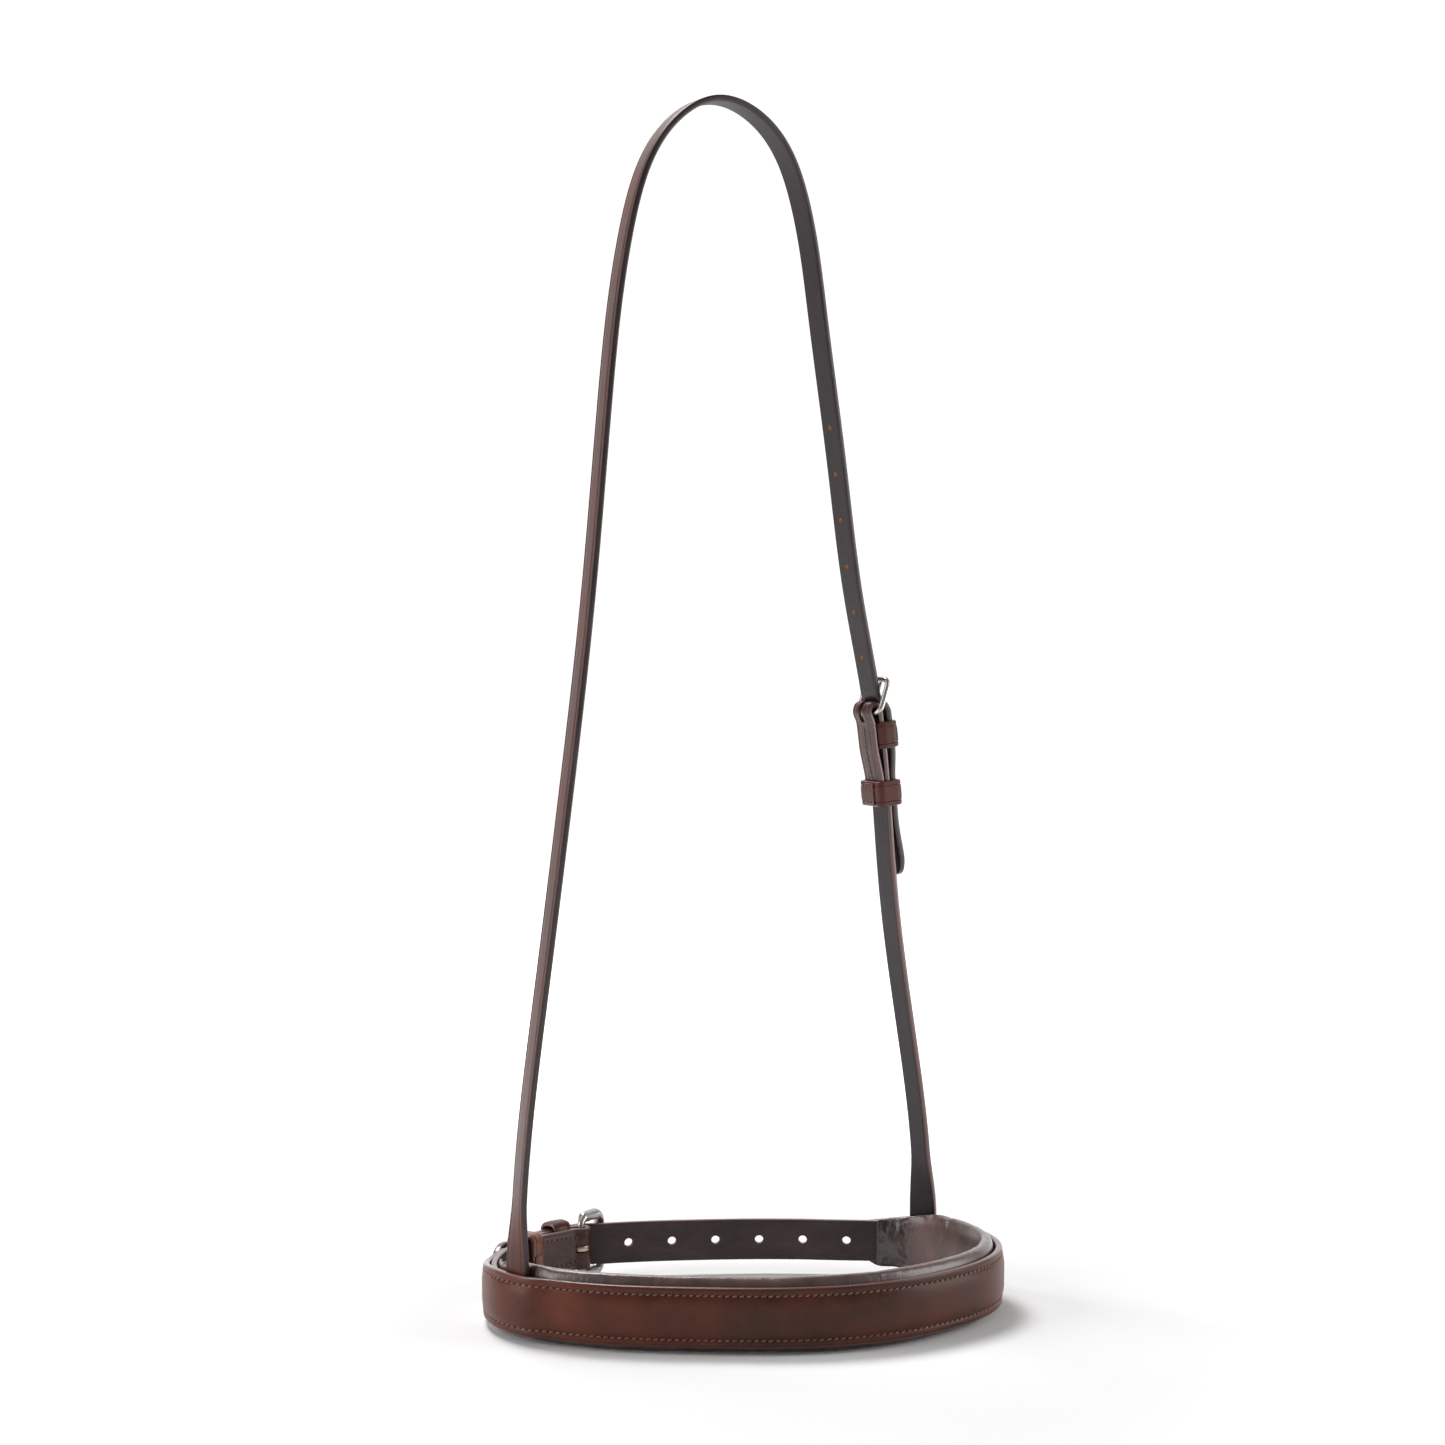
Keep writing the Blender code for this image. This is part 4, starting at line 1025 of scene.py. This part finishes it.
class Buckle:
    """Sizes of one buckle group; all heights are above the chape's straight layer."""

    def __init__(self, run, bar, **sizes):
        self.run = run
        self.bar = bar
        for key, value in sizes.items():
            setattr(self, key, value)
        self.bar_height = -(self.chape_thick / 2 + CLEAR + self.bar_radius)
        self.fold_radius = self.bar_radius + CLEAR + self.chape_thick / 2
        self.billet_level = self.chape_thick / 2 + CLEAR + self.billet_thick / 2
        self.tuck_height = -(self.chape_thick / 2 + CLEAR + self.keeper_thick / 2)
        self.keeper_layer = self.tuck_height - self.keeper_thick / 2 - CLEAR - self.chape_thick / 2
        self.end_layer = -(self.chape_thick + CLEAR)
        self.eye_radius = self.bar_radius + CLEAR + self.tongue_thick / 2
        turns = np.linspace(0.0, math.pi, FOLD_STEPS + 1)
        fold = np.stack([(self.fold_radius + self.fold_puff) * np.sin(turns),
                         self.fold_radius * np.cos(turns)], axis=1)
        self.fold_length = float(reach_along(fold)[-1])
        self.slot_width = self.tongue_width + 2 * CLEAR
        self.pivot = run.place(bar, self.bar_height, 0)

    def billet_height(self, s):
        """Level, up over the bar, then along the outside of the chape."""
        s = np.asarray(s, float)
        rise = smooth_step(s, self.bar - self.lift_run, self.bar)
        keeper_end = self.bar + self.keeper_from + self.keeper_band
        runner_start = self.bar + self.runner_from
        lift = self.billet_lift * (1.0 - smooth_step(s, keeper_end, runner_start))
        level = self.bar + self.billet_tail - self.tail_level
        runner_end = runner_start + self.runner_band
        stand = self.tail_stand * smooth_step(s, runner_end + self.tail_from, level)
        return (self.billet_level + lift) * rise + stand

    def crossing(self):
        """Where the middle of the tongue passes through the middle of the punched strap."""
        reach = np.linspace(0.0, self.lift_run, CROSSING_STEPS)
        start = self.bar_height + self.eye_radius / math.cos(self.tilt)
        miss = np.abs(start + reach * math.tan(self.tilt) - self.billet_height(self.bar - reach))
        return self.bar - float(reach[np.argmin(miss)])

    def chape_line(self, far_end):
        """Middle of the strap that folds round the bar: straight layer, fold, layer sewn back."""
        spots = list(np.arange(far_end, self.bar, -1.5 * MM)) + [self.bar]
        heights = [0.0] * len(spots)
        for step in range(1, FOLD_STEPS + 1):
            angle = math.pi / 2 - math.pi * step / FOLD_STEPS
            spots.append(self.bar - (self.fold_radius + self.fold_puff) * math.cos(angle))
            heights.append(self.bar_height + self.fold_radius * math.sin(angle))
        reach = np.linspace(0.0, self.turn_back, BACK_STEPS)[1:]
        keeper_end = self.keeper_from + self.keeper_band
        near = mix(heights[-1], self.keeper_layer, smooth_step(reach, 0.0, self.keeper_from))
        closed = smooth_step(reach, keeper_end - CLOSE_START, self.turn_back - CLOSE_END)
        spots += list(self.bar + reach)
        heights += list(mix(near, self.end_layer, closed))
        return Middle(self.run, spots, heights)

# %% [markdown]
# The cheek buckle sits on the half-inch straps, with keepers drawn close. The chin buckle is
# wider, its keepers are looser, and the tail of its strap stands off the nosepiece's end.

# %% The two buckles
CHEEK = Buckle(
    ARCH, ARCH.length - CHEEK_LENGTH, strap_width=HEAD_WIDTH, billet_thick=HEAD_THICK,
    chape_thick=CHEEK_THICK, bar_radius=1.3 * MM, rail_radius=1.3 * MM, reach=16.0 * MM,
    inner_width=15.0 * MM, corner=3.0 * MM, tilt=math.radians(28.0), arch=1.2 * MM,
    tongue_thick=1.8 * MM, tongue_width=2.4 * MM, keeper_thick=1.5 * MM, keeper_band=12.0 * MM,
    keeper_from=4.8 * MM, keeper_tuck=3.4 * MM, keeper_side=CLEAR, keeper_top=CLEAR,
    runner_band=11.5 * MM, runner_from=31.5 * MM, runner_play=0.5 * MM, turn_back=39.0 * MM,
    lift_run=7.5 * MM, fold_puff=1.0 * MM, billet_lift=1.4 * MM, billet_tail=76.5 * MM,
    tail_stand=2.6 * MM, tail_from=4.0 * MM, tail_level=0.0)
CHIN = Buckle(
    LOOP, LOOP.length - NOSE_HALF_LENGTH - CHAPE_REACH, strap_width=CHIN_WIDTH,
    billet_thick=CHIN_THICK, chape_thick=CHAPE_THICK, bar_radius=1.7 * MM, rail_radius=1.8 * MM,
    reach=15.4 * MM, inner_width=21.4 * MM, corner=3.4 * MM, tilt=math.radians(28.0), arch=1.4 * MM,
    tongue_thick=2.2 * MM, tongue_width=3.0 * MM, keeper_thick=1.6 * MM, keeper_band=10.0 * MM,
    keeper_from=5.0 * MM, keeper_tuck=4.5 * MM, keeper_side=1.3 * MM, keeper_top=1.0 * MM,
    runner_band=9.0 * MM, runner_from=29.5 * MM, runner_play=0.8 * MM, turn_back=34.0 * MM,
    lift_run=14.0 * MM, fold_puff=0.3 * MM, billet_lift=0.0, billet_tail=55.0 * MM,
    tail_stand=2.95 * MM, tail_from=1.0 * MM, tail_level=10.0 * MM)
CHAPE_END = LOOP.length - HEAD_REACH - HEAD_WIDTH / 2 - STRAP_GAP
CHIN_START = CHEEK_REACH + HEAD_WIDTH / 2 + STRAP_GAP
print("cheek bar", CHEEK.pivot.round(4), "chin bar", CHIN.pivot.round(4))

# %% [markdown]
# ## The punched straps
# The head strap and the chin strap end in a rounded point and carry the holes. The hole in use
# is drawn long by the tongue. Between the bends the strap needs few cuts, near the buckle many.

# %% Punched straps
TONGUE_SLACK = 1.1 * MM
STEP = 2.4 * MM
STRAP_TIP_ANGLES = (0, 15, 30, 42, 52, 61, 69, 76, 83, 89)


def tip_spots(end):
    return [end - STRAP_TIP * (1.0 - math.sin(math.radians(a))) for a in STRAP_TIP_ANGLES]


def round_tip(bm, end):
    """Narrow the last stretch of a blank to a rounded point."""
    for vert in bm.verts:
        share = 1.0 - min(1.0, max(0.0, (end - vert.co.x) / STRAP_TIP))
        vert.co.y *= math.sqrt(max(0.01, 1.0 - share * share))


def punched_strap(name, node, buckle, start, hole, pitch, up, down, finish):
    end = buckle.bar + buckle.billet_tail
    line = np.arange(start, end + 0.5 * MM, 1.0 * MM)
    middle = Middle(buckle.run, line, buckle.billet_height(line))
    flat_end = middle.flat(end)
    spots = list(np.arange(0.0, flat_end - STRAP_TIP - 1.0 * MM, STEP)) + tip_spots(flat_end)
    bm = strap_blank(spots, buckle.strap_width, buckle.billet_thick)
    round_tip(bm, flat_end)
    obj = add_piece(name, bm, finish)
    used = buckle.crossing()
    places = [middle.flat(used - i * pitch) for i in range(-down, up + 1) if i != 0]
    punch(obj, places, hole, buckle.billet_thick)
    below, above = buckle.billet_height(np.array([used - MM, used + MM]))
    crossed = buckle.tilt + math.atan2(above - below, 2 * MM)
    near = (buckle.tongue_thick / 2 + TONGUE_SLACK) / math.sin(crossed)
    stretch = buckle.billet_thick / 2 + buckle.tongue_thick * 1.5
    slot(obj, middle.flat(used) - near, middle.flat(used + stretch), buckle.slot_width,
         buckle.billet_thick, 1.0 / math.tan(crossed))
    bend_piece(obj, middle.place)
    finish_piece(obj, "straps", node)


punched_strap("head_strap_leather", "head_strap", CHEEK, 0.0, HEAD_HOLE, HEAD_PITCH, 6, 3, HEAD_FINISH)
punched_strap("chin_strap_leather", "chin_strap", CHIN, CHIN_START, CHIN_HOLE, CHIN_PITCH, 6, 2,
              STRAP_FINISH)

# %% [markdown]
# ## The chapes
# A chape is the strap end that holds the buckle. It is folded round the bar, with a slot in the
# fold for the tongue, and its short layer is sewn down on the inside.

# %% Chapes
FOLD_CUTS, BACK_CUTS = 22, 34


def chape(name, node, buckle, far_end):
    middle = buckle.chape_line(far_end)
    straight = far_end - buckle.bar
    back = straight + buckle.fold_length
    spots = list(np.arange(0.0, straight - 2 * MM, STEP))
    spots += list(np.linspace(straight, back, FOLD_CUTS))
    spots += list(np.linspace(back, middle.length, BACK_CUTS)[1:])
    bm = strap_blank(spots, buckle.strap_width, buckle.chape_thick)
    for face in bm.faces:
        if face.material_index == 0 and face.calc_center_median().x > back:
            face.material_index = 4
    obj = add_piece(name, bm, CHAPE_FINISH)
    room = buckle.eye_radius + buckle.tongue_thick / 2 + 2 * CLEAR
    slot(obj, straight - room, back + room, buckle.slot_width, buckle.chape_thick)
    bend_piece(obj, middle.place_turned)
    finish_piece(obj, "straps", node)
    return middle


CHEEK_MIDDLE = chape("cheek_strap_leather", "cheek_strap", CHEEK, ARCH.length)
CHAPE_MIDDLE = chape("chin_chape_leather", "chin_chape", CHIN, CHAPE_END)

# %% [markdown]
# ## Stitching of the chapes
# The cheek strap is sewn with one row down its middle, the wider chin chape with two rows that
# close up towards the fold. The thread shows on both sides of the chape, so each row is sewn
# twice: on the smooth face and on the sewn-back layer.

# %% Sew the chapes
STITCH_RISE = 0.12 * MM


def sew_chape(name, buckle, middle, far_end, ends, spread_at_ends, scale):
    """Rows on both layers of a chape between two distances behind the bar, each at ±y."""
    straight = far_end - buckle.bar
    back = straight + buckle.fold_length
    high = buckle.chape_thick / 2 + STITCH_RISE
    count = round((ends[1] - ends[0]) / STITCH_PITCH) + 1
    reach = np.linspace(*ends, count)
    rows = []
    for side in (1, -1) if any(spread_at_ends) else (1,):
        ys = side * np.linspace(*spread_at_ends, count)
        rows += [[(x, y, high) for x, y in zip(xs, ys)] for xs in (straight - reach, back + reach)]
    sew(name, rows, middle.place_turned, "straps", scale)


sew_chape("cheek_strap_stitches", CHEEK, CHEEK_MIDDLE, ARCH.length, (8 * MM, 37 * MM), (0.0, 0.0), 0.8)
sew_chape("chin_chape_stitches", CHIN, CHAPE_MIDDLE, CHAPE_END, (4 * MM, 31 * MM),
          (5.6 * MM, 6.8 * MM), 0.85)

# %% [markdown]
# ## Keepers and runners
# Both are bands of leather with two creased lines, bent square round the straps. The keeper's
# ends are sewn between the layers of the chape. The runner slides: its ends meet on the inner
# side, where a thin tab is laid over them and stitched. Each is a flat band first, and its wrap
# says where the middle of the band runs.

# %% Wrap of a band
class Wrap:
    """Middle of a band across the strap: (height, across) points with their outward directions."""

    def __init__(self, buckle, start, length, points, outward):
        self.buckle = buckle
        self.middle = start + length / 2
        self.points = np.array(points)
        self.outward = np.array(outward)
        self.reach = reach_along(self.points)
        self.length = self.reach[-1]

    def place(self, x, h, y):
        n, w = (np.interp(x, self.reach, self.points[:, k]) for k in (0, 1))
        out_n, out_w = (np.interp(x, self.reach, self.outward[:, k]) for k in (0, 1))
        size = np.hypot(out_n, out_w)
        return self.buckle.run.place(self.middle + y, n + out_n / size * h, w + out_w / size * h)


CORNER_TURNS = 8


def wrapped(buckle, start, length, low, high, half, radius, end):
    """Wrap round a rounded rectangle, open in its low side between two ends at ±end."""
    corners = [(low + radius, half - radius), (high - radius, half - radius),
               (high - radius, radius - half), (low + radius, radius - half)]
    points, outward = [(low, end)], [(-1.0, 0.0)]
    for quarter, (n, w) in enumerate(corners):
        for step in range(CORNER_TURNS + 1):
            angle = math.pi / 2 * (2 - quarter - step / CORNER_TURNS)
            out = (math.cos(angle), math.sin(angle))
            points.append((n + radius * out[0], w + radius * out[1]))
            outward.append(out)
    return Wrap(buckle, start, length, points + [(low, -end)], outward + [(-1.0, 0.0)])

# %% A bent band
BAND_CROWN = 0.35 * MM
BAND_STEP = 1.2 * MM
BAND_LINE_IN = 2.2 * MM
BAND_LINE_DEPTH = 0.28 * MM
LEAST_STEP = 0.2 * MM


def band(name, wrap, width, thick, body, node, gap, finish):
    """Flat band with two creased lines and a slight crown, bent on to its wrap."""
    marks = np.concatenate([wrap.reach, np.arange(0.0, wrap.length, BAND_STEP)])
    inner = sorted(set(np.round(marks, 6)))
    first, last = gap + LEAST_STEP, wrap.length - gap - LEAST_STEP
    spots = [gap] + [m for m in inner if first < m < last] + [wrap.length - gap]
    bm = block(spots[0], spots[-1], width, thick, thick * 0.4)
    crease(bm, (BAND_LINE_IN - width / 2, width / 2 - BAND_LINE_IN), thick, BAND_LINE_DEPTH)
    slit(bm, (-width / 8, width / 8))
    crosscut(bm, spots)
    for vert in bm.verts:
        if vert.co.z > 0:
            share = vert.co.y / (width / 2)
            vert.co.z += BAND_CROWN * (1.0 - share * share)
    paint_sides(bm)
    obj = add_piece(name, bm, finish)
    bend_piece(obj, wrap.place)
    finish_piece(obj, body, node)

# %% The stitched tab of a runner
TAB_SPAN = (-4.6 * MM, 2.4 * MM)
TAB_THICK = 0.8 * MM
TAB_IN = 1.6 * MM
TAB_ROW_IN = 1.1 * MM
TAB_ROW_ENDS = (0.9 * MM, 1.0 * MM)
TAB_PITCH = 2.1 * MM
TAB_SUNK = 0.1 * MM


def over_tab(name, wrap, low, width, thick, body, finish):
    """The end of a runner, pared thin, laid over its beginning and stitched down with a row along each
    side.
    """
    wide = width - TAB_IN
    bm = block(*TAB_SPAN, wide, TAB_THICK, TAB_THICK * 0.42)
    slit(bm, (-wide / 6, wide / 6))
    crosscut(bm, list(np.linspace(*TAB_SPAN, 8)))
    paint_sides(bm)
    tab = add_piece(name, bm, finish)
    high = thick / 2 + BAND_CROWN * 0.6 + TAB_THICK / 2 - TAB_SUNK

    def lay(x, h, y):
        return wrap.buckle.run.place(wrap.middle + y, low - high - h, x)

    bend_piece(tab, lay)
    finish_piece(tab, body)
    side, top = wide / 2 - TAB_ROW_IN, TAB_THICK / 2 + STITCH_RISE
    rows = [straight_row(TAB_SPAN[0] + TAB_ROW_ENDS[0], TAB_SPAN[1] - TAB_ROW_ENDS[1], y, top, TAB_PITCH)
            for y in (side, -side)]
    sew(name + "_stitches", rows, lay, body, 0.72)

# %% Fixed keepers and runners
KEEPER_CORNER_SHARE = 1.8
RUNNER_CORNER_SHARE = 1.4
MEETING = 0.15 * MM


def fixed_keeper(name, node, buckle):
    thick = buckle.keeper_thick
    half = buckle.strap_width / 2 + buckle.keeper_side + thick / 2
    billet_top = buckle.billet_level + buckle.billet_lift + buckle.billet_thick / 2
    wrap = wrapped(buckle, buckle.bar + buckle.keeper_from, buckle.keeper_band, buckle.tuck_height,
                   billet_top + buckle.keeper_top + thick / 2, half, thick * KEEPER_CORNER_SHARE,
                   half - thick - buckle.keeper_tuck)
    band(name, wrap, buckle.keeper_band, thick, "straps", node, 0.0, BAND_FINISH)


def runner(name, node, body, buckle, middle, finish):
    thick = buckle.keeper_thick
    wall = buckle.runner_play + thick / 2
    start = buckle.bar + buckle.runner_from
    near = middle.line[:, 0] >= start - buckle.keeper_tuck
    low = middle.line[near, 1].min() - buckle.chape_thick / 2 - wall
    wrap = wrapped(buckle, start, buckle.runner_band, low,
                   buckle.billet_level + buckle.billet_thick / 2 + wall,
                   buckle.strap_width / 2 + wall, thick * RUNNER_CORNER_SHARE, 0.0)
    band(name, wrap, buckle.runner_band, thick, body, node, MEETING, finish)
    over_tab(name + "_tab", wrap, low, buckle.runner_band, thick, body, finish)


fixed_keeper("cheek_keeper_leather", "cheek_fixed_keeper", CHEEK)
fixed_keeper("chin_keeper_leather", "chin_fixed_keeper", CHIN)
runner("cheek_runner_leather", "cheek_runner", "cheek_keeper", CHEEK, CHEEK_MIDDLE, BAND_FINISH)
runner("chin_runner_leather", "chin_runner", "chin_keeper", CHIN, CHAPE_MIDDLE, WORN_FINISH)

# %% [markdown]
# ## Buckle frames and tongues
# A buckle frame is a wire bent four times in a jig and brazed under the strap's fold. The same
# moves make it here: a round section is extruded along each straight side and spun round each
# corner. The wire of the sides is pressed a little flat. The tongue is rolled round the bar by
# another spin, and its shank is drawn thinner to its end.

# %% Wire bending
def bend_wire(bm, ring, moves):
    """Extrude a closed ring along ("run", length) and ("turn", angle, radius) moves in the XY plane."""
    place = Vector((0.0, 0.0, 0.0))
    ahead = Vector((0.0, 1.0, 0.0))
    for move in moves:
        edges = [e for e in {e for v in ring for e in v.link_edges} if all(v in ring for v in e.verts)]
        if move[0] == "run":
            made = bmesh.ops.extrude_edge_only(bm, edges=edges)["geom"]
            ring = only(VERT, made)
            bmesh.ops.translate(bm, vec=ahead * move[1], verts=ring)
            place += ahead * move[1]
        else:
            angle, radius = move[1:]
            side = Vector((-ahead.y, ahead.x, 0.0)) * math.copysign(1.0, angle)
            made = bmesh.ops.spin(bm, geom=ring + edges, cent=place + side * radius, axis=(0, 0, 1),
                                  angle=angle, steps=CORNER_TURNS)["geom_last"]
            ring = only(VERT, made)
            turn = Matrix.Rotation(angle, 3, "Z")
            place = place + side * radius - turn @ (side * radius)
            ahead = turn @ ahead


def seat(buckle):
    """Axes of a buckle on its bar: X over the far rail, Y along the bar, Z away from the strap."""
    _, along, out, _ = (Vector(v) for v in buckle.run.axes(buckle.bar))
    chord = -along * math.cos(buckle.tilt) + out * math.sin(buckle.tilt)
    rise = along * math.sin(buckle.tilt) + out * math.cos(buckle.tilt)
    axes = Matrix((chord, rise.cross(chord), rise)).transposed().to_4x4()
    return Matrix.Translation(Vector(buckle.pivot)) @ axes

# %% Frames
WIRE_SIDES = 20


def buckle_frame(name, node, body, buckle, flatten):
    bm = bmesh.new()
    stand = Matrix.Rotation(math.pi / 2, 4, "X")
    ring = bmesh.ops.create_circle(bm, segments=WIRE_SIDES, radius=buckle.rail_radius,
                                   matrix=stand)["verts"]
    half = buckle.inner_width / 2 + buckle.rail_radius
    r = buckle.corner
    quarter = -math.pi / 2
    side = [("run", half - r), ("turn", quarter, r), ("run", buckle.reach - 2 * r),
            ("turn", quarter, r), ("run", half - r)]
    bend_wire(bm, ring, side * 2)
    bmesh.ops.remove_doubles(bm, verts=bm.verts, dist=0.01 * MM)
    for vert in bm.verts:
        x = min(buckle.reach, max(0.0, vert.co.x))
        off_bar = float(smooth_step(x, 0.0, r))
        shrink = mix(buckle.bar_radius / buckle.rail_radius, 1.0, off_bar)
        wide = half - buckle.rail_radius
        vert.co.z *= shrink * mix(1.0, flatten[0], off_bar)
        if abs(vert.co.y) > half - r:
            share = off_bar * (abs(vert.co.y) - wide) / buckle.rail_radius
            vert.co.y += math.copysign(flatten[1], vert.co.y) * share
        if vert.co.x < buckle.rail_radius:
            vert.co.x *= shrink
        vert.co.z += buckle.arch * math.sin(math.pi * x / buckle.reach)
    bmesh.ops.recalc_face_normals(bm, faces=bm.faces)
    bmesh.ops.transform(bm, matrix=seat(buckle), verts=bm.verts)
    obj = add_piece(name, bm, [STEEL])
    subdivide_once(obj)
    finish_piece(obj, body, node)


buckle_frame("cheek_frame_steel", "cheek_buckle_frame", "cheek_frame", CHEEK, (1.0, 0.0))
buckle_frame("chin_frame_steel", "chin_buckle_frame", "chin_frame", CHIN, (1.45, 0.8 * MM))

# %% Tongues
TONGUE_CURL = math.radians(395.0)
TONGUE_NARROW = 0.35
TONGUE_THIN = 0.2
CURL_CUTS, SHANK_CUTS = 30, 16


def buckle_tongue(name, node, body, buckle, metal):
    """A flat bar drawn thinner to its end, rolled round the bar and laid over the far rail."""
    over = buckle.reach + buckle.rail_radius + CLEAR
    lift = buckle.rail_radius + CLEAR + buckle.tongue_thick / 2
    turns = np.linspace(TONGUE_CURL, math.pi / 2, CURL_CUTS)
    shares = np.linspace(0.0, 1.0, SHANK_CUTS)[1:]
    line = np.vstack([buckle.eye_radius * np.stack([np.cos(turns), np.sin(turns)], axis=1),
                      np.stack([over * shares, mix(buckle.eye_radius, lift, shares)], axis=1)])
    reach = reach_along(line)
    slope = unit(np.gradient(line, axis=0))
    bm = block(0.0, reach[-1], buckle.tongue_width, buckle.tongue_thick, buckle.tongue_thick * 0.32)
    crosscut(bm, list(reach))
    shank = reach[-1] - over
    for vert in bm.verts:
        share = max(0.0, (vert.co.x - shank) / over)
        vert.co.y *= 1.0 - TONGUE_NARROW * share
        vert.co.z *= 1.0 - TONGUE_THIN * share
    obj = add_piece(name, bm, [metal])
    to_place = np.array(seat(buckle))

    def roll(x, h, w):
        a, b = (np.interp(x, reach, line[:, k]) for k in (0, 1))
        da, db = (np.interp(x, reach, slope[:, k]) for k in (0, 1))
        local = np.stack([a - db * h, w, b + da * h, np.ones_like(h)], axis=1)
        return (local @ to_place.T)[:, :3]

    bend_piece(obj, roll)
    finish_piece(obj, body, node)


buckle_tongue("cheek_tongue_steel", "cheek_buckle_tongue", "cheek_tongue", CHEEK, STEEL)
buckle_tongue("chin_tongue_steel", "chin_buckle_tongue", "chin_tongue", CHIN, STEEL_PAINTED_REFLECTION)

# %% [markdown]
# ## Camera, light and stage
# The camera stands where the photographer's did: a long lens, about 1.2 m away, tipped three
# degrees down. The noseband hangs just over a white floor that takes its soft shadow. Its paper
# turns up into a backdrop far behind, and away from the noseband both are plain white.

# %% Camera
CAMERA_SPOT = (-0.6062, -1.0790, -0.2045)
CAMERA_TIP, CAMERA_TURN = 87.0, -29.4
CAMERA_LENS, CAMERA_SENSOR = 70.26, 36.0
camera = new_object("camera", bpy.data.cameras.new("camera"))
camera.location = CAMERA_SPOT
camera.rotation_euler = (math.radians(CAMERA_TIP), 0.0, math.radians(CAMERA_TURN))
camera.data.lens = CAMERA_LENS
camera.data.sensor_width = CAMERA_SENSOR
bpy.context.scene.camera = camera

# %% Stage
FLOOR_GAP = 0.3 * MM
STAGE_SPOT = (0.0, 0.0, CAD_BOX[0].z - FLOOR_GAP)
GLOW_NEAR, GLOW_FAR = 160 * MM, 750 * MM
STAGE_HALF, STAGE_DEPTH, STAGE_HEIGHT, STAGE_TURN = 4.0, 3.2, 5.0, 0.6


def stage_material(name, shade, paler, far):
    """Paper that is paler for the camera by one share and glows by the other, far from the noseband."""
    material = new_material(name, {"Base Color": linear(shade), "Roughness": 0.9,
                                   "Specular IOR Level": 0.0})
    reach = add_node(material, "VectorMath", {0: object_place(material), 1: STAGE_SPOT},
                     operation="DISTANCE").outputs["Value"]
    glow = spread(material, reach, (GLOW_NEAR, GLOW_FAR, 0.0, far), interpolation_type="SMOOTHSTEP")
    rays = add_node(material, "LightPath").outputs
    seen = math_node(material, "MAXIMUM", rays["Is Camera Ray"], rays["Is Glossy Ray"])
    lamp = add_node(material, "Emission", {"Strength": math_node(material, "MULTIPLY", seen, glow)})
    paper = add_node(material, "BsdfDiffuse", {"Color": math_node(material, "MULTIPLY", seen, paler)})
    both = add_node(material, "AddShader", {0: shader_of(material).outputs[0], 1: lamp.outputs[0]})
    whole = add_node(material, "AddShader", {0: both.outputs[0], 1: paper.outputs[0]})
    output = material.node_tree.nodes["Material Output"]
    material.node_tree.links.new(whole.outputs[0], output.inputs["Surface"])
    return material


# matt white paper: it takes the noseband's soft shadow and is plain white away from it
WHITE = stage_material("white_stage", "#dcdcdc", 0.3, 0.8)


def make_stage():
    """Floor and backdrop in one sheet, with a rounded turn between them."""
    bm = bmesh.new()
    verts = [bm.verts.new((x, -STAGE_DEPTH, 0)) for x in (-STAGE_HALF, STAGE_HALF)]
    made = bmesh.ops.extrude_edge_only(bm, edges=[bm.edges.new(verts)])["geom"]
    fresh = only(VERT, made)
    bmesh.ops.translate(bm, vec=(0, 2 * STAGE_DEPTH - STAGE_TURN, 0), verts=fresh)
    edge = next(e for e in only(LINE, made) if all(v in fresh for v in e.verts))
    made = bmesh.ops.spin(bm, geom=[edge] + fresh, cent=(0, STAGE_DEPTH - STAGE_TURN, STAGE_TURN),
                          axis=(1, 0, 0), angle=math.pi / 2, steps=16)["geom_last"]
    made = bmesh.ops.extrude_edge_only(bm, edges=only(LINE, made)[:1])["geom"]
    bmesh.ops.translate(bm, vec=(0, 0, STAGE_HEIGHT), verts=only(VERT, made))
    place = Matrix.Translation(STAGE_SPOT) @ Matrix.Rotation(camera.rotation_euler.z, 4, "Z")
    bmesh.ops.transform(bm, matrix=place, verts=bm.verts)
    stage = add_piece("stage", bm, [WHITE])


make_stage()

# %% Lights
CENTRE = (0.0, 0.0, -0.3)
ROOM_LIGHT = 0.22


def area_light(name, place, size, power):
    """Softbox that faces the middle of the noseband."""
    lamp = bpy.data.lights.new(name, "AREA")
    lamp.shape = "RECTANGLE"
    lamp.size, lamp.size_y = size
    lamp.energy = power
    obj = new_object(name, lamp)
    obj.location = place
    obj.rotation_euler = (Vector(CENTRE) - Vector(place)).to_track_quat("-Z", "Y").to_euler()


area_light("left_softbox", (-1.3, 0.25, -0.1), (0.8, 1.3), 11.0)
area_light("right_softbox", (1.15, -0.8, -0.1), (0.8, 1.3), 12.0)
area_light("back_softbox", (-0.15, 0.8, 1.2), (0.7, 0.7), 24.0)

world = bpy.data.worlds.new("studio")
world.use_nodes = True
background = world.node_tree.nodes["Background"]
background.inputs["Color"].default_value = (1, 1, 1, 1)
seen = spread(world, add_node(world, "LightPath").outputs["Is Camera Ray"], (0.0, 1.0, ROOM_LIGHT, 1.0))
world.node_tree.links.new(seen, background.inputs["Strength"])
bpy.context.scene.world = world
bpy.context.scene.view_settings.view_transform = "Standard"
